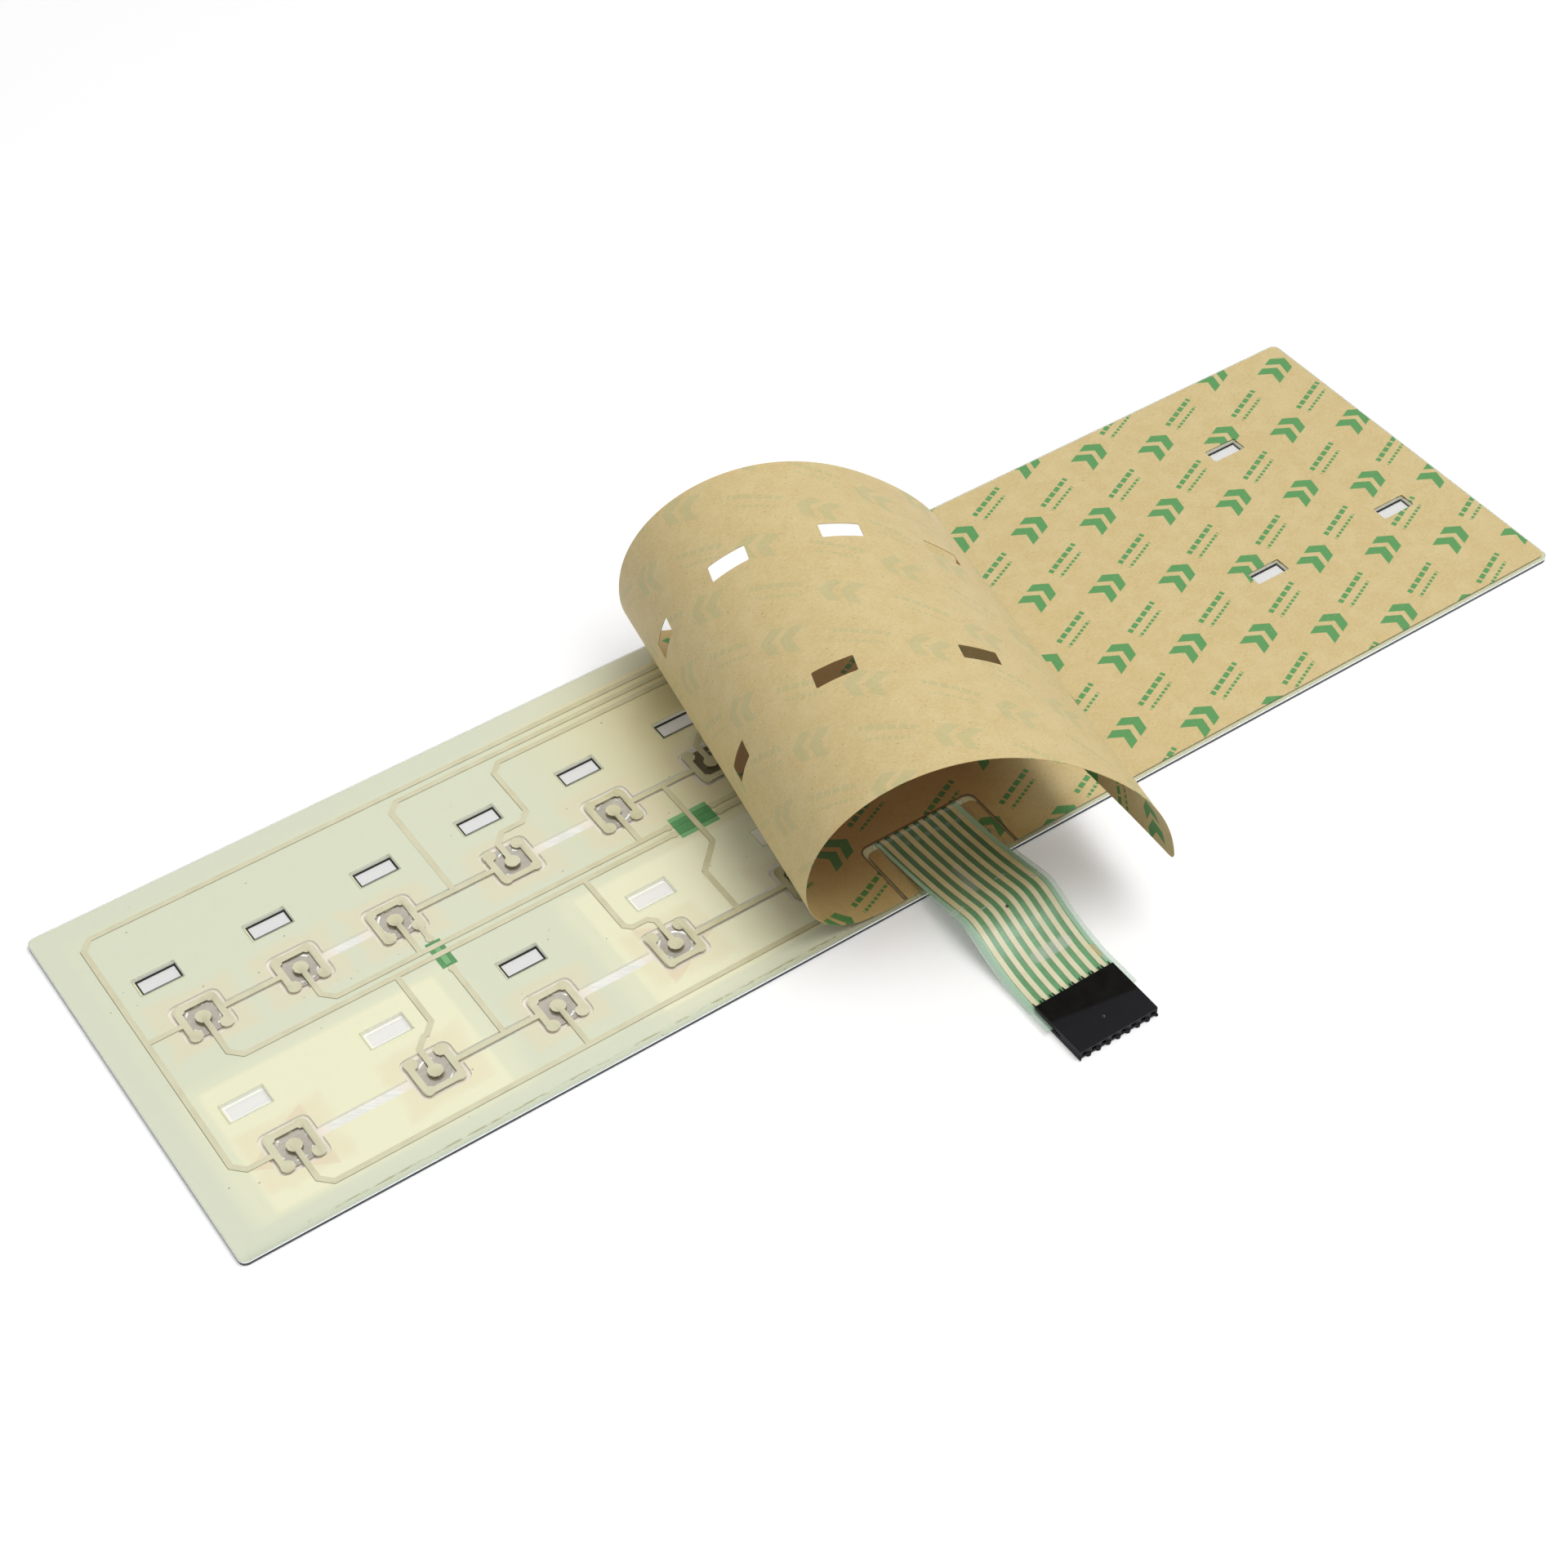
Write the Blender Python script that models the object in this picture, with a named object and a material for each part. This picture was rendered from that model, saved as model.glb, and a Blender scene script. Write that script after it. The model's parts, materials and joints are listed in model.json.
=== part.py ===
"""Membrane keypad panel lying on its printed face, back up, with its release liner half peeled.

Sizes are in millimetres. Plan positions are measured from the panel's front left corner, x along the
panel and y towards its back edge. The meshes are written in metres about the middle of the front face.
"""
import math

import bmesh
import bpy
from mathutils import Vector
from mathutils.geometry import delaunay_2d_cdt

# Panel outline
PANEL_LENGTH = 342.9
PANEL_WIDTH = 96.5
CORNER_RADIUS = 1.6

# Laminate, from the front sheet upwards
LAYER_GAP = 0.01
OVERLAY_THICKNESS = 0.25
ADHESIVE_THICKNESS = 0.13
SPACER_THICKNESS = 0.65
FILM_THICKNESS = 0.125
INK_THICKNESS = 0.02
LINER_THICKNESS = 0.12
LINER_INSET = 0.4
LINER_FRONT_INSET = 0.9

# Key layout
FIRST_WINDOW = 18.2
UPPER_PITCH = 25.4
LOWER_PITCH = 31.75
UPPER_ROW_FROM_BACK = 38.6
LOWER_ROW = 19.0
WINDOW_ABOVE_DOME = 14.15
WINDOW_LENGTH = 9.7
WINDOW_HEIGHT = 4.9
LINER_WINDOW_LENGTH = 9.2
LINER_WINDOW_HEIGHT = 4.2
LINER_WINDOW_SHIFT = 0.4
UPPER_SHIFTS = (3.1, 0.0, -3.2, 0.0, 0.0, 0.0)
LOWER_SHIFTS = (3.1, 3.1, 0.0, -3.1, -2.6)
FAR_UPPER_FROM_RIGHT = (37.7,)
FAR_LOWER_FROM_RIGHT = (126.8, 57.9, 18.4)

# Snap domes and their pockets
DOME_FLAT = 4.6
DOME_LEG_REACH = 1.3
DOME_SHEET = 0.07
DOME_DIMPLE = 0.08
DOME_SEGMENTS = 16
DOME_RINGS = (0.15, 0.6, 1.0)
POCKET_CLEARANCE = 1.2
POCKET_RADIUS = 1.8
VENT_WIDTH = 2.4

# Printed conductors
LINE_WIDTH = 1.35
RING_INSIDE_DOME = 0.5
RING_BAR_WIDTH = 1.6
PAD_INSIDE_RING = 0.6
PAD_BELOW_RING = 0.2
RING_FOOT_RADIUS = 1.6
RING_CORNER_RADIUS = 1.3
DOT_RADIUS = 1.75
END_PAD_RADIUS = 1.0
ROUND_STEPS = 10
MITRE = 2.4
EDGE_LINE = 8.7
TOP_LINE_FROM_BACK = 6.8
TOP_LINE_PITCH = 2.6
BUS_BELOW_UPPER = 13.4
BUS_PITCH = 2.4
FRONT_BUS_BELOW_LOWER = 12.1
FEED_ABOVE_LOWER = 8.8
FEED_ABOVE_UPPER = 8.4
UPPER_FEED_SIDE = 9.9
LOWER_FEED_SIDES = (5.5, -6.3)
STEP_ASIDE = 6.2
FAR_LEVEL = 38.0
FAR_LEVEL_PITCH = 3.0
CROSSING_LEVEL = 30.0

# Tail and its connector
TAIL_SHIFT = -0.5
TAIL_DRIFT = -0.6
LINES = 8
PITCH = 2.54
TAIL_MARGIN = 2.8
TAIL_SLIT = 0.4
TAIL_ROOT = 17.6
SLIT_OPENING = 1.8
TAB_HALF_WIDTH = 14.35
TAB_CUT = 0.4
TAB_RADIUS = 1.5
COAT_MARGIN = 0.9
# Height of the tail above the laminate, and how far it is in front of the panel's edge
TAIL_OVER_PANEL = ((11.0, 0.5), (5.0, 1.2), (-1.7, 2.2), (-7.6, 3.4), (-12.4, 4.5), (-15.4, 4.6),
                   (-18.6, 3.6), (-22.0, 2.2), (-25.9, 0.95), (-30.0, 0.05))
TAIL_BEFORE_HOUSING = 2.6
TAIL_SAG_AT_HOUSING = 0.1
TAIL_STEPS = 3

# Connector housing, from its back edge to the front
HOUSING_BACK = -37.5
HOUSING_DEPTH = 14.5
HOUSING_HEIGHT = 2.5
HOUSING_SIDE = 1.18
HOUSING_CHAMFER = 0.2
FILM_SLOT = 0.5
FILM_SLOT_DEPTH = 8.3
FILM_IN_SLOT = 6.0
PIN_CAVITY = 1.15
LOBE_RADIUS = 0.72
LOBE_INSET = 0.3
CLAW_LENGTH = 1.2
CLAW_WIDTH = 0.3
CLAW_HEIGHT = 0.4
CONTACT_WIDTH = 0.8
CONTACT_SHEET = 0.12
CONTACT_GAP = 0.02

# Rolled part of the liner: where the fold starts on the front edge, how far its axis is turned from the
# panel's width, and how sharply the paper bends (1/mm) at distances along it from the fold
FOLD_START = 154.85
FOLD_TURN = math.radians(9.86)
ROLL_BEND = ((0.0, 0.0), (10.0, 0.055), (25.0, 0.045), (40.0, 0.024), (55.0, 0.037),
             (75.0, 0.034), (95.0, 0.027), (120.0, 0.012), (155.0, 0.05))
ROLL_STEP = 3.0
ROLL_FINE = 10

MM = 0.001
WELD = 1e-4
INK_GAP = 3 * (INK_THICKNESS + LAYER_GAP) + LAYER_GAP

# Levels of the laminate
OVERLAY_TOP = OVERLAY_THICKNESS
FRONT_ADHESIVE = OVERLAY_TOP + LAYER_GAP
SPACER = FRONT_ADHESIVE + ADHESIVE_THICKNESS + LAYER_GAP
SPACER_TOP = SPACER + SPACER_THICKNESS
FILM = SPACER_TOP + INK_GAP
FILM_MIDDLE = FILM + FILM_THICKNESS / 2
LINE_LEVEL = FILM - LAYER_GAP - INK_THICKNESS
COAT_LEVEL = LINE_LEVEL - LAYER_GAP - INK_THICKNESS
JUMPER_LEVEL = COAT_LEVEL - LAYER_GAP - INK_THICKNESS
REAR_ADHESIVE = FILM + FILM_THICKNESS + LAYER_GAP
LINER = REAR_ADHESIVE + ADHESIVE_THICKNESS + LAYER_GAP
PANEL_TOP = LINER + LINER_THICKNESS

# Key rows, conductor levels and columns
UPPER_ROW = PANEL_WIDTH - UPPER_ROW_FROM_BACK
TOP_LINES = [PANEL_WIDTH - TOP_LINE_FROM_BACK - TOP_LINE_PITCH * i for i in range(3)]
BUS_2 = UPPER_ROW - BUS_BELOW_UPPER
BUS_3 = BUS_2 + BUS_PITCH
FRONT_BUS = LOWER_ROW - FRONT_BUS_BELOW_LOWER
LOWER_FEED = LOWER_ROW + FEED_ABOVE_LOWER
UPPER_FEED = UPPER_ROW + FEED_ABOVE_UPPER
FAR_LEVELS = [FAR_LEVEL + FAR_LEVEL_PITCH * i for i in range(4)]
CROSSING_LEVELS = [CROSSING_LEVEL + FAR_LEVEL_PITCH * i for i in range(4)]
TAIL_CENTRE = PANEL_LENGTH / 2 + TAIL_SHIFT
TAIL_LINES = [TAIL_CENTRE + PITCH * (i - (LINES - 1) / 2) for i in range(LINES)]
TAIL_HALF = PITCH * (LINES - 1) / 2 + TAIL_MARGIN
HOUSING_HALF = PITCH * (LINES - 1) / 2 + HOUSING_SIDE
HOUSING_CENTRE = TAIL_CENTRE + TAIL_DRIFT
PINS = [x + TAIL_DRIFT for x in TAIL_LINES]
HOUSING_MIDDLE = HOUSING_HEIGHT / 2
DOME_LEG = DOME_FLAT + DOME_LEG_REACH
POCKET_HALF = DOME_FLAT + POCKET_CLEARANCE
RING_BAR = DOME_FLAT - RING_INSIDE_DOME
RING_PAD = RING_BAR - PAD_INSIDE_RING
RING_PAD_RISE = RING_BAR - PAD_BELOW_RING

UPPER_WINDOWS = [FIRST_WINDOW + UPPER_PITCH * i for i in range(len(UPPER_SHIFTS))]
LOWER_WINDOWS = [FIRST_WINDOW + LOWER_PITCH * i for i in range(len(LOWER_SHIFTS))]
FAR_UPPER = [PANEL_LENGTH - x for x in FAR_UPPER_FROM_RIGHT]
FAR_LOWER = [PANEL_LENGTH - x for x in FAR_LOWER_FROM_RIGHT]
UPPER_DOMES = [x + shift for x, shift in zip(UPPER_WINDOWS, UPPER_SHIFTS)]
LOWER_DOMES = [x + shift for x, shift in zip(LOWER_WINDOWS, LOWER_SHIFTS)]
DOMES = ([(x, UPPER_ROW) for x in UPPER_DOMES + FAR_UPPER]
         + [(x, LOWER_ROW) for x in LOWER_DOMES + FAR_LOWER])
WINDOWS = ([(x, UPPER_ROW + WINDOW_ABOVE_DOME) for x in UPPER_WINDOWS + FAR_UPPER]
           + [(x, LOWER_ROW + WINDOW_ABOVE_DOME) for x in LOWER_WINDOWS + FAR_LOWER])


# Materials

def material(name, colour, roughness, metallic=0.0, alpha=1.0):
    """A Principled material, made once under its name."""
    made = bpy.data.materials.get(name)
    if made is None:
        made = bpy.data.materials.new(name)
        made.use_nodes = True
        shader = made.node_tree.nodes["Principled BSDF"]
        shader.inputs["Base Color"].default_value = (*colour, 1.0)
        shader.inputs["Roughness"].default_value = roughness
        shader.inputs["Metallic"].default_value = metallic
        shader.inputs["Alpha"].default_value = alpha
    return made


OVERLAY_INK = ("overlay_ink", (0.78, 0.77, 0.68), 0.45)
CLEAR_ADHESIVE = ("clear_adhesive", (0.88, 0.88, 0.78), 0.35, 0.0, 0.3)
SPACER_FILM = ("spacer_film", (0.74, 0.77, 0.60), 0.5)
CLEAR_FILM = ("clear_film", (0.86, 0.90, 0.84), 0.2, 0.0, 0.3)
SILVER_INK = ("silver_ink", (0.67, 0.62, 0.43), 0.45, 0.3)
GREEN_COAT = ("green_coat", (0.16, 0.42, 0.22), 0.4)
DOME_STEEL = ("dome_steel", (0.55, 0.55, 0.52), 0.3, 1.0)
KRAFT_PAPER = ("kraft_paper", (0.62, 0.50, 0.28), 0.6)
BLACK_PLASTIC = ("black_plastic", (0.015, 0.015, 0.016), 0.4)
CONTACT_TIN = ("contact_tin", (0.7, 0.7, 0.68), 0.3, 1.0)


# Outlines, each a list of plan points that runs anticlockwise

def rectangle(left, front, right, back):
    """A plain rectangle."""
    return [(left, front), (right, front), (right, back), (left, back)]


def rounded(left, front, right, back, radius, steps=4, front_radius=None):
    """A rectangle with round corners, whose front corners may have their own radius."""
    front_radius = radius if front_radius is None else front_radius
    corners = ((right, front, -90, front_radius), (right, back, 0, radius),
               (left, back, 90, radius), (left, front, 180, front_radius))
    points = []
    for x, y, start, size in corners:
        if size == 0:
            points.append((x, y))
            continue
        centre_x = x - size if x == right else x + size
        centre_y = y - size if y == back else y + size
        for k in range(steps + 1):
            angle = math.radians(start + 90 * k / steps)
            points.append((centre_x + size * math.cos(angle), centre_y + size * math.sin(angle)))
    return points


def disc(x, y, radius):
    """A round pad."""
    turns = (2 * math.pi * (k + 0.5) / ROUND_STEPS for k in range(ROUND_STEPS))
    return [(x + radius * math.cos(a), y + radius * math.sin(a)) for a in turns]


def mitred(points, mitre):
    """The same route with each inner corner cut off by a diagonal."""
    route = [Vector(points[0])]
    for before, corner, after in zip(points, points[1:], points[2:]):
        before, corner, after = Vector(before), Vector(corner), Vector(after)
        cut_in = min(mitre, (corner - before).length / 2)
        cut_out = min(mitre, (after - corner).length / 2)
        route.append(corner + (before - corner).normalized() * cut_in)
        route.append(corner + (after - corner).normalized() * cut_out)
    route.append(Vector(points[-1]))
    return route


def line(*points, mitre=MITRE):
    """The outline of a conductor along a route with its corners cut."""
    route = mitred(points, mitre)
    headings = [(b - a).normalized() for a, b in zip(route, route[1:])]
    left, right = [], []
    for i, point in enumerate(route):
        before = headings[max(i - 1, 0)]
        after = headings[min(i, len(headings) - 1)]
        bisector = (before + after).normalized()
        reach = LINE_WIDTH / 2 / max(bisector.dot(before), 0.5)
        side = Vector((-bisector.y, bisector.x)) * reach
        left.append(tuple(point + side))
        right.append(tuple(point - side))
    return right + left[::-1]


def ring(x, y, closed):
    """A C-shaped contact ring, closed towards the back (1) or the front (-1), as its bars and pads."""
    outlines = []
    half_width = RING_BAR_WIDTH / 2
    for side in (-1, 1):
        bar = x + side * RING_BAR
        outlines.append(rectangle(bar - half_width, y - RING_PAD_RISE, bar + half_width,
                                  y + RING_PAD_RISE))
        for end in (-1, 1):
            radius = RING_CORNER_RADIUS if end == closed else RING_FOOT_RADIUS
            outlines.append(disc(x + side * RING_PAD, y + end * RING_PAD_RISE, radius))
    cross = y + closed * RING_BAR
    outlines.append(rectangle(x - RING_PAD, cross - half_width, x + RING_PAD, cross + half_width))
    return outlines


def key_row(xs, y, sides):
    """Rings side by side on one row, joined by straight lines between their bars."""
    outlines = [outline for x, closed in zip(xs, sides) for outline in ring(x, y, closed)]
    for first, second in zip(xs, xs[1:]):
        outlines.append(line((first + RING_BAR, y), (second - RING_BAR, y)))
    return outlines


def dot(x, y):
    """The round contact under a dome's middle."""
    return disc(x, y, DOT_RADIUS)


# Solids

def finish(name, mesh_data, finish_spec, smooth=False):
    """Centre the mesh on the panel, scale it to metres and make it an object."""
    for vertex in mesh_data.verts:
        x, y, z = vertex.co
        vertex.co = Vector(((x - PANEL_LENGTH / 2), (y - PANEL_WIDTH / 2), z)) * MM
    bmesh.ops.recalc_face_normals(mesh_data, faces=mesh_data.faces[:])
    mesh = bpy.data.meshes.new(name)
    mesh_data.to_mesh(mesh)
    mesh_data.free()
    if smooth:
        mesh.shade_smooth()
        mesh.set_sharp_from_angle(angle=math.radians(30))
    built = bpy.data.objects.new(name, mesh)
    built.data.materials.append(material(*finish_spec))
    bpy.context.collection.objects.link(built)
    return built


def sheet(outlines, cuts, bottom, thickness):
    """The union of some outlines, less the cuts, drawn flat and given its thickness."""
    points, loops = [], []
    for outline in outlines + cuts:
        loops.append(list(range(len(points), len(points) + len(outline))))
        points.extend(Vector(point) for point in outline)
    drawn, _, faces, _, _, sources = delaunay_2d_cdt(points, [], loops, 1, WELD)
    solid = bmesh.new()
    corners = [solid.verts.new((x, y, bottom)) for x, y in drawn]
    for face, inside in zip(faces, sources):
        if inside and max(inside) < len(outlines):
            solid.faces.new([corners[k] for k in face])
    loose = [vertex for vertex in solid.verts if not vertex.link_faces]
    bmesh.ops.delete(solid, geom=loose, context="VERTS")
    raised = bmesh.ops.extrude_face_region(solid, geom=solid.faces[:])["geom"]
    top = [item for item in raised if isinstance(item, bmesh.types.BMVert)]
    bmesh.ops.translate(solid, verts=top, vec=(0, 0, thickness))
    return solid


def cut_across(solid, faces, point, normal):
    """Add the edges where a plane crosses some faces, so that they can bend there."""
    around = {item for face in faces for item in (*face.verts, *face.edges)}
    bmesh.ops.bisect_plane(solid, geom=list(faces) + list(around), dist=WELD,
                           plane_co=point, plane_no=normal)


# The tail's path, as stations of distance along it, place and upward normal

def smooth_curve(points, steps):
    """Points on a smooth curve through the given ones."""
    padded = [points[0] * 2 - points[1], *points, points[-1] * 2 - points[-2]]
    curve = [points[0]]
    for a, b, c, d in zip(padded, padded[1:], padded[2:], padded[3:]):
        for k in range(1, steps + 1):
            t = k / steps
            curve.append(0.5 * (2 * b + (c - a) * t + (2 * a - 5 * b + 4 * c - d) * t ** 2
                                + (3 * b - a - 3 * c + d) * t ** 3))
    return curve


def tail_stations():
    """The tail's side view: it rises through the slit, arches over the edge and enters the housing."""
    slit_front = TAIL_ROOT - SLIT_OPENING
    under_film = FILM_MIDDLE - COAT_LEVEL
    over_tab = PANEL_TOP + under_film + 3 * LAYER_GAP
    route = [(TAIL_ROOT + SLIT_OPENING, FILM_MIDDLE), (TAIL_ROOT, FILM_MIDDLE),
             (TAIL_ROOT - SLIT_OPENING / 2, (FILM_MIDDLE + over_tab) / 2), (slit_front, over_tab),
             *((y, PANEL_TOP + rise) for y, rise in TAIL_OVER_PANEL),
             (HOUSING_BACK + TAIL_BEFORE_HOUSING, HOUSING_MIDDLE - TAIL_SAG_AT_HOUSING),
             (HOUSING_BACK, HOUSING_MIDDLE),
             (HOUSING_BACK - FILM_IN_SLOT / 2, HOUSING_MIDDLE), (HOUSING_BACK - FILM_IN_SLOT, HOUSING_MIDDLE)]
    curve = smooth_curve([Vector(point) for point in route], TAIL_STEPS)[TAIL_STEPS:]
    stations, distance = [], 0.0
    for i, place in enumerate(curve):
        ahead = curve[min(i + 1, len(curve) - 1)] - curve[max(i - 1, 0)]
        ahead.normalize()
        if i:
            distance += (place - curve[i - 1]).length
        stations.append((distance, place, Vector((ahead.y, -ahead.x))))
    stations[0] = (0.0, curve[0], Vector((0, 1)))
    return stations


def between(stations, distance):
    """Place and normal at a distance, straight from one station to the next."""
    for first, second in zip(stations, stations[1:]):
        if distance <= second[0] or second is stations[-1]:
            share = (distance - first[0]) / (second[0] - first[0])
            return first[1].lerp(second[1], share), first[2].lerp(second[2], share)


TAIL = tail_stations()
TAIL_LENGTH = TAIL[-1][0]
TAIL_END = TAIL_ROOT - TAIL_LENGTH
HOUSING_DISTANCE = TAIL_LENGTH - FILM_IN_SLOT


def bend_tail(solid):
    """Bend what lies in the tail's width, in front of its root, along the tail's path."""
    reach = TAIL_HALF + TAIL_SLIT / 2

    def in_tail(vertex):
        return abs(vertex.co.x - TAIL_CENTRE) < reach and vertex.co.y < TAIL_ROOT + WELD

    for distance, _, _ in TAIL[:-1]:
        faces = [face for face in solid.faces if any(in_tail(vertex) for vertex in face.verts)]
        cut_across(solid, faces, (0, TAIL_ROOT - distance, 0), (0, 1, 0))
    for vertex in solid.verts:
        if in_tail(vertex):
            distance = max(TAIL_ROOT - vertex.co.y, 0.0)
            place, normal = between(TAIL, distance)
            lift = vertex.co.z - FILM_MIDDLE
            vertex.co.x += TAIL_DRIFT * min(distance / HOUSING_DISTANCE, 1.0)
            vertex.co.y, vertex.co.z = place + normal * lift


# The liner's roll, as stations of distance from the fold, place across the axis and inward normal

def roll_bend(distance):
    """How sharply the paper bends at a distance from the fold."""
    for (start, low), (end, high) in zip(ROLL_BEND, ROLL_BEND[1:]):
        if distance < end:
            return low + (high - low) * (distance - start) / (end - start)
    return ROLL_BEND[-1][1]


def roll_stations(reach):
    """The roll's profile: it leaves the panel to the left, rises, and comes over to the right."""
    fine = ROLL_STEP / ROLL_FINE
    place, heading, distance = Vector((0, LINER)), 0.0, 0.0
    stations = [(0.0, place.copy(), Vector((0, 1)))]
    while distance < reach:
        for _ in range(ROLL_FINE):
            heading += roll_bend(distance + fine / 2) * fine
            place += Vector((-math.cos(heading), math.sin(heading))) * fine
            distance += fine
        stations.append((distance, place.copy(), Vector((math.sin(heading), math.cos(heading)))))
    return stations


def bend_liner(solid):
    """Roll up the liner's left part about the turned fold line."""
    along = Vector((math.sin(FOLD_TURN), math.cos(FOLD_TURN)))
    across = Vector((math.cos(FOLD_TURN), -math.sin(FOLD_TURN)))
    fold = Vector((FOLD_START, LINER_FRONT_INSET))
    reach = max((fold - vertex.co.xy).dot(across) for vertex in solid.verts)
    stations = roll_stations(reach)
    for distance, _, _ in stations[:-1]:
        point = fold - across * distance
        cut_across(solid, solid.faces[:], (*point, 0), (*across, 0))
    for vertex in solid.verts:
        offset = vertex.co.xy - fold
        distance = -offset.dot(across)
        if distance > WELD:
            place, normal = between(stations, distance)
            lift = vertex.co.z - LINER
            plan = fold + along * offset.dot(along) + across * (place.x + normal.x * lift)
            vertex.co = (*plan, place.y + normal.y * lift)


# Pieces of the laminate

def panel_outline(inset=0.0, front_inset=0.0):
    """The panel's outline, drawn in from its edges."""
    front = front_inset or inset
    return rounded(inset, front, PANEL_LENGTH - inset, PANEL_WIDTH - inset, CORNER_RADIUS)


def windows(length=WINDOW_LENGTH, height=WINDOW_HEIGHT, shift=0.0):
    """The window holes that go through every sheet behind the overlay."""
    half, tall = length / 2, height / 2
    return [rectangle(x + shift - half, y + shift - tall, x + shift + half, y + shift + tall)
            for x, y in WINDOWS]


def tab_notch(cut):
    """The tail's opening in the rear adhesive and the liner: round the tab, up to the slit."""
    half = TAB_HALF_WIDTH + cut
    return rounded(TAIL_CENTRE - half, -PANEL_WIDTH, TAIL_CENTRE + half, TAIL_ROOT,
                   TAB_RADIUS + cut, front_radius=0)


def build_front():
    """The graphic overlay, its adhesive and the dome spacer."""
    finish("overlay", sheet([panel_outline()], [], 0.0, OVERLAY_THICKNESS), OVERLAY_INK)
    finish("overlay_adhesive",
           sheet([panel_outline()], windows(), FRONT_ADHESIVE, ADHESIVE_THICKNESS), CLEAR_ADHESIVE)
    pockets = [rounded(x - POCKET_HALF, y - POCKET_HALF, x + POCKET_HALF, y + POCKET_HALF,
                       POCKET_RADIUS, steps=3) for x, y in DOMES]
    half = VENT_WIDTH / 2
    vents = [rectangle(xs[0], y - half, xs[-1], y + half)
             for xs, y in ((UPPER_DOMES + FAR_UPPER, UPPER_ROW), (LOWER_DOMES + FAR_LOWER, LOWER_ROW))]
    finish("dome_spacer", sheet([panel_outline()], pockets + vents + windows(), SPACER, SPACER_THICKNESS),
           SPACER_FILM)


def build_dome(name, x, y):
    """A four-legged snap dome: its crown towards the overlay, its feet on the ring, a dimple inside."""
    foot = LINE_LEVEL - LAYER_GAP
    drop = foot - DOME_SHEET - SPACER
    solid = bmesh.new()
    skins = []
    for level in (0.0, DOME_SHEET):
        centre = solid.verts.new((x, y, SPACER + DOME_DIMPLE + level))
        rings = []
        for share in DOME_RINGS:
            turn = []
            for k in range(DOME_SEGMENTS):
                angle = 2 * math.pi * k / DOME_SEGMENTS
                radius = share * (DOME_FLAT + (DOME_LEG - DOME_FLAT) * math.sin(2 * angle) ** 4)
                rise = drop * (radius / DOME_LEG) ** 2
                turn.append(solid.verts.new((x + radius * math.cos(angle), y + radius * math.sin(angle),
                                             SPACER + rise + level)))
            rings.append(turn)
        skins.append((centre, rings))
    for centre, rings in skins:
        for k in range(DOME_SEGMENTS):
            ahead = (k + 1) % DOME_SEGMENTS
            solid.faces.new((centre, rings[0][k], rings[0][ahead]))
            for inner, outer in zip(rings, rings[1:]):
                solid.faces.new((inner[k], outer[k], outer[ahead], inner[ahead]))
    lower, upper = skins[0][1][-1], skins[1][1][-1]
    for k in range(DOME_SEGMENTS):
        ahead = (k + 1) % DOME_SEGMENTS
        solid.faces.new((lower[k], upper[k], upper[ahead], lower[ahead]))
    finish(name, solid, DOME_STEEL, smooth=True)


def build_film():
    """The circuit film, one piece with its tail."""
    tail = rectangle(TAIL_CENTRE - TAIL_HALF, TAIL_END, TAIL_CENTRE + TAIL_HALF, TAIL_ROOT + SLIT_OPENING)
    slits = []
    for side in (-1, 1):
        edge = TAIL_CENTRE + side * (TAIL_HALF + TAIL_SLIT / 2)
        slits.append(rectangle(edge - TAIL_SLIT / 2, -PANEL_WIDTH, edge + TAIL_SLIT / 2, TAIL_ROOT))
    film = sheet([panel_outline(), tail], slits + windows(), FILM, FILM_THICKNESS)
    bend_tail(film)
    finish("circuit_film", film, CLEAR_FILM)
    half = TAIL_HALF - COAT_MARGIN
    coat = sheet([rectangle(TAIL_CENTRE - half, TAIL_END + FILM_IN_SLOT, TAIL_CENTRE + half,
                            TAIL_ROOT + SLIT_OPENING)], [], COAT_LEVEL, INK_THICKNESS)
    bend_tail(coat)
    finish("tail_cover_coat", coat, GREEN_COAT)


def build_back():
    """The rear adhesive and the kraft liner, with the tab that stays under the tail."""
    finish("rear_adhesive",
           sheet([panel_outline()], windows() + [tab_notch(TAB_CUT)], REAR_ADHESIVE, ADHESIVE_THICKNESS),
           CLEAR_ADHESIVE)
    tab = rounded(TAIL_CENTRE - TAB_HALF_WIDTH, LINER_FRONT_INSET, TAIL_CENTRE + TAB_HALF_WIDTH,
                  TAIL_ROOT - SLIT_OPENING, TAB_RADIUS, front_radius=0)
    finish("tab_adhesive", sheet([tab], [], REAR_ADHESIVE, ADHESIVE_THICKNESS), CLEAR_ADHESIVE)
    finish("liner_tab", sheet([tab], [], LINER, LINER_THICKNESS), KRAFT_PAPER)
    holes = windows(LINER_WINDOW_LENGTH, LINER_WINDOW_HEIGHT, LINER_WINDOW_SHIFT)
    liner = sheet([panel_outline(LINER_INSET, LINER_FRONT_INSET)], holes + [tab_notch(TAB_CUT)],
                  LINER, LINER_THICKNESS)
    bend_liner(liner)
    finish("release_liner", liner, KRAFT_PAPER, smooth=True)


# Conductors: four row lines join the rings, four column lines join the dots

def ink(name, outlines, level=LINE_LEVEL, spec=SILVER_INK):
    """One printed body."""
    printed = sheet(outlines, [], level, INK_THICKNESS)
    if level == LINE_LEVEL:
        bend_tail(printed)
    finish(name, printed, spec)


def drop(index):
    """Plan point at the end of one tail line, inside the connector."""
    return (TAIL_LINES[index], TAIL_END + FILM_IN_SLOT / 2)


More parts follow.
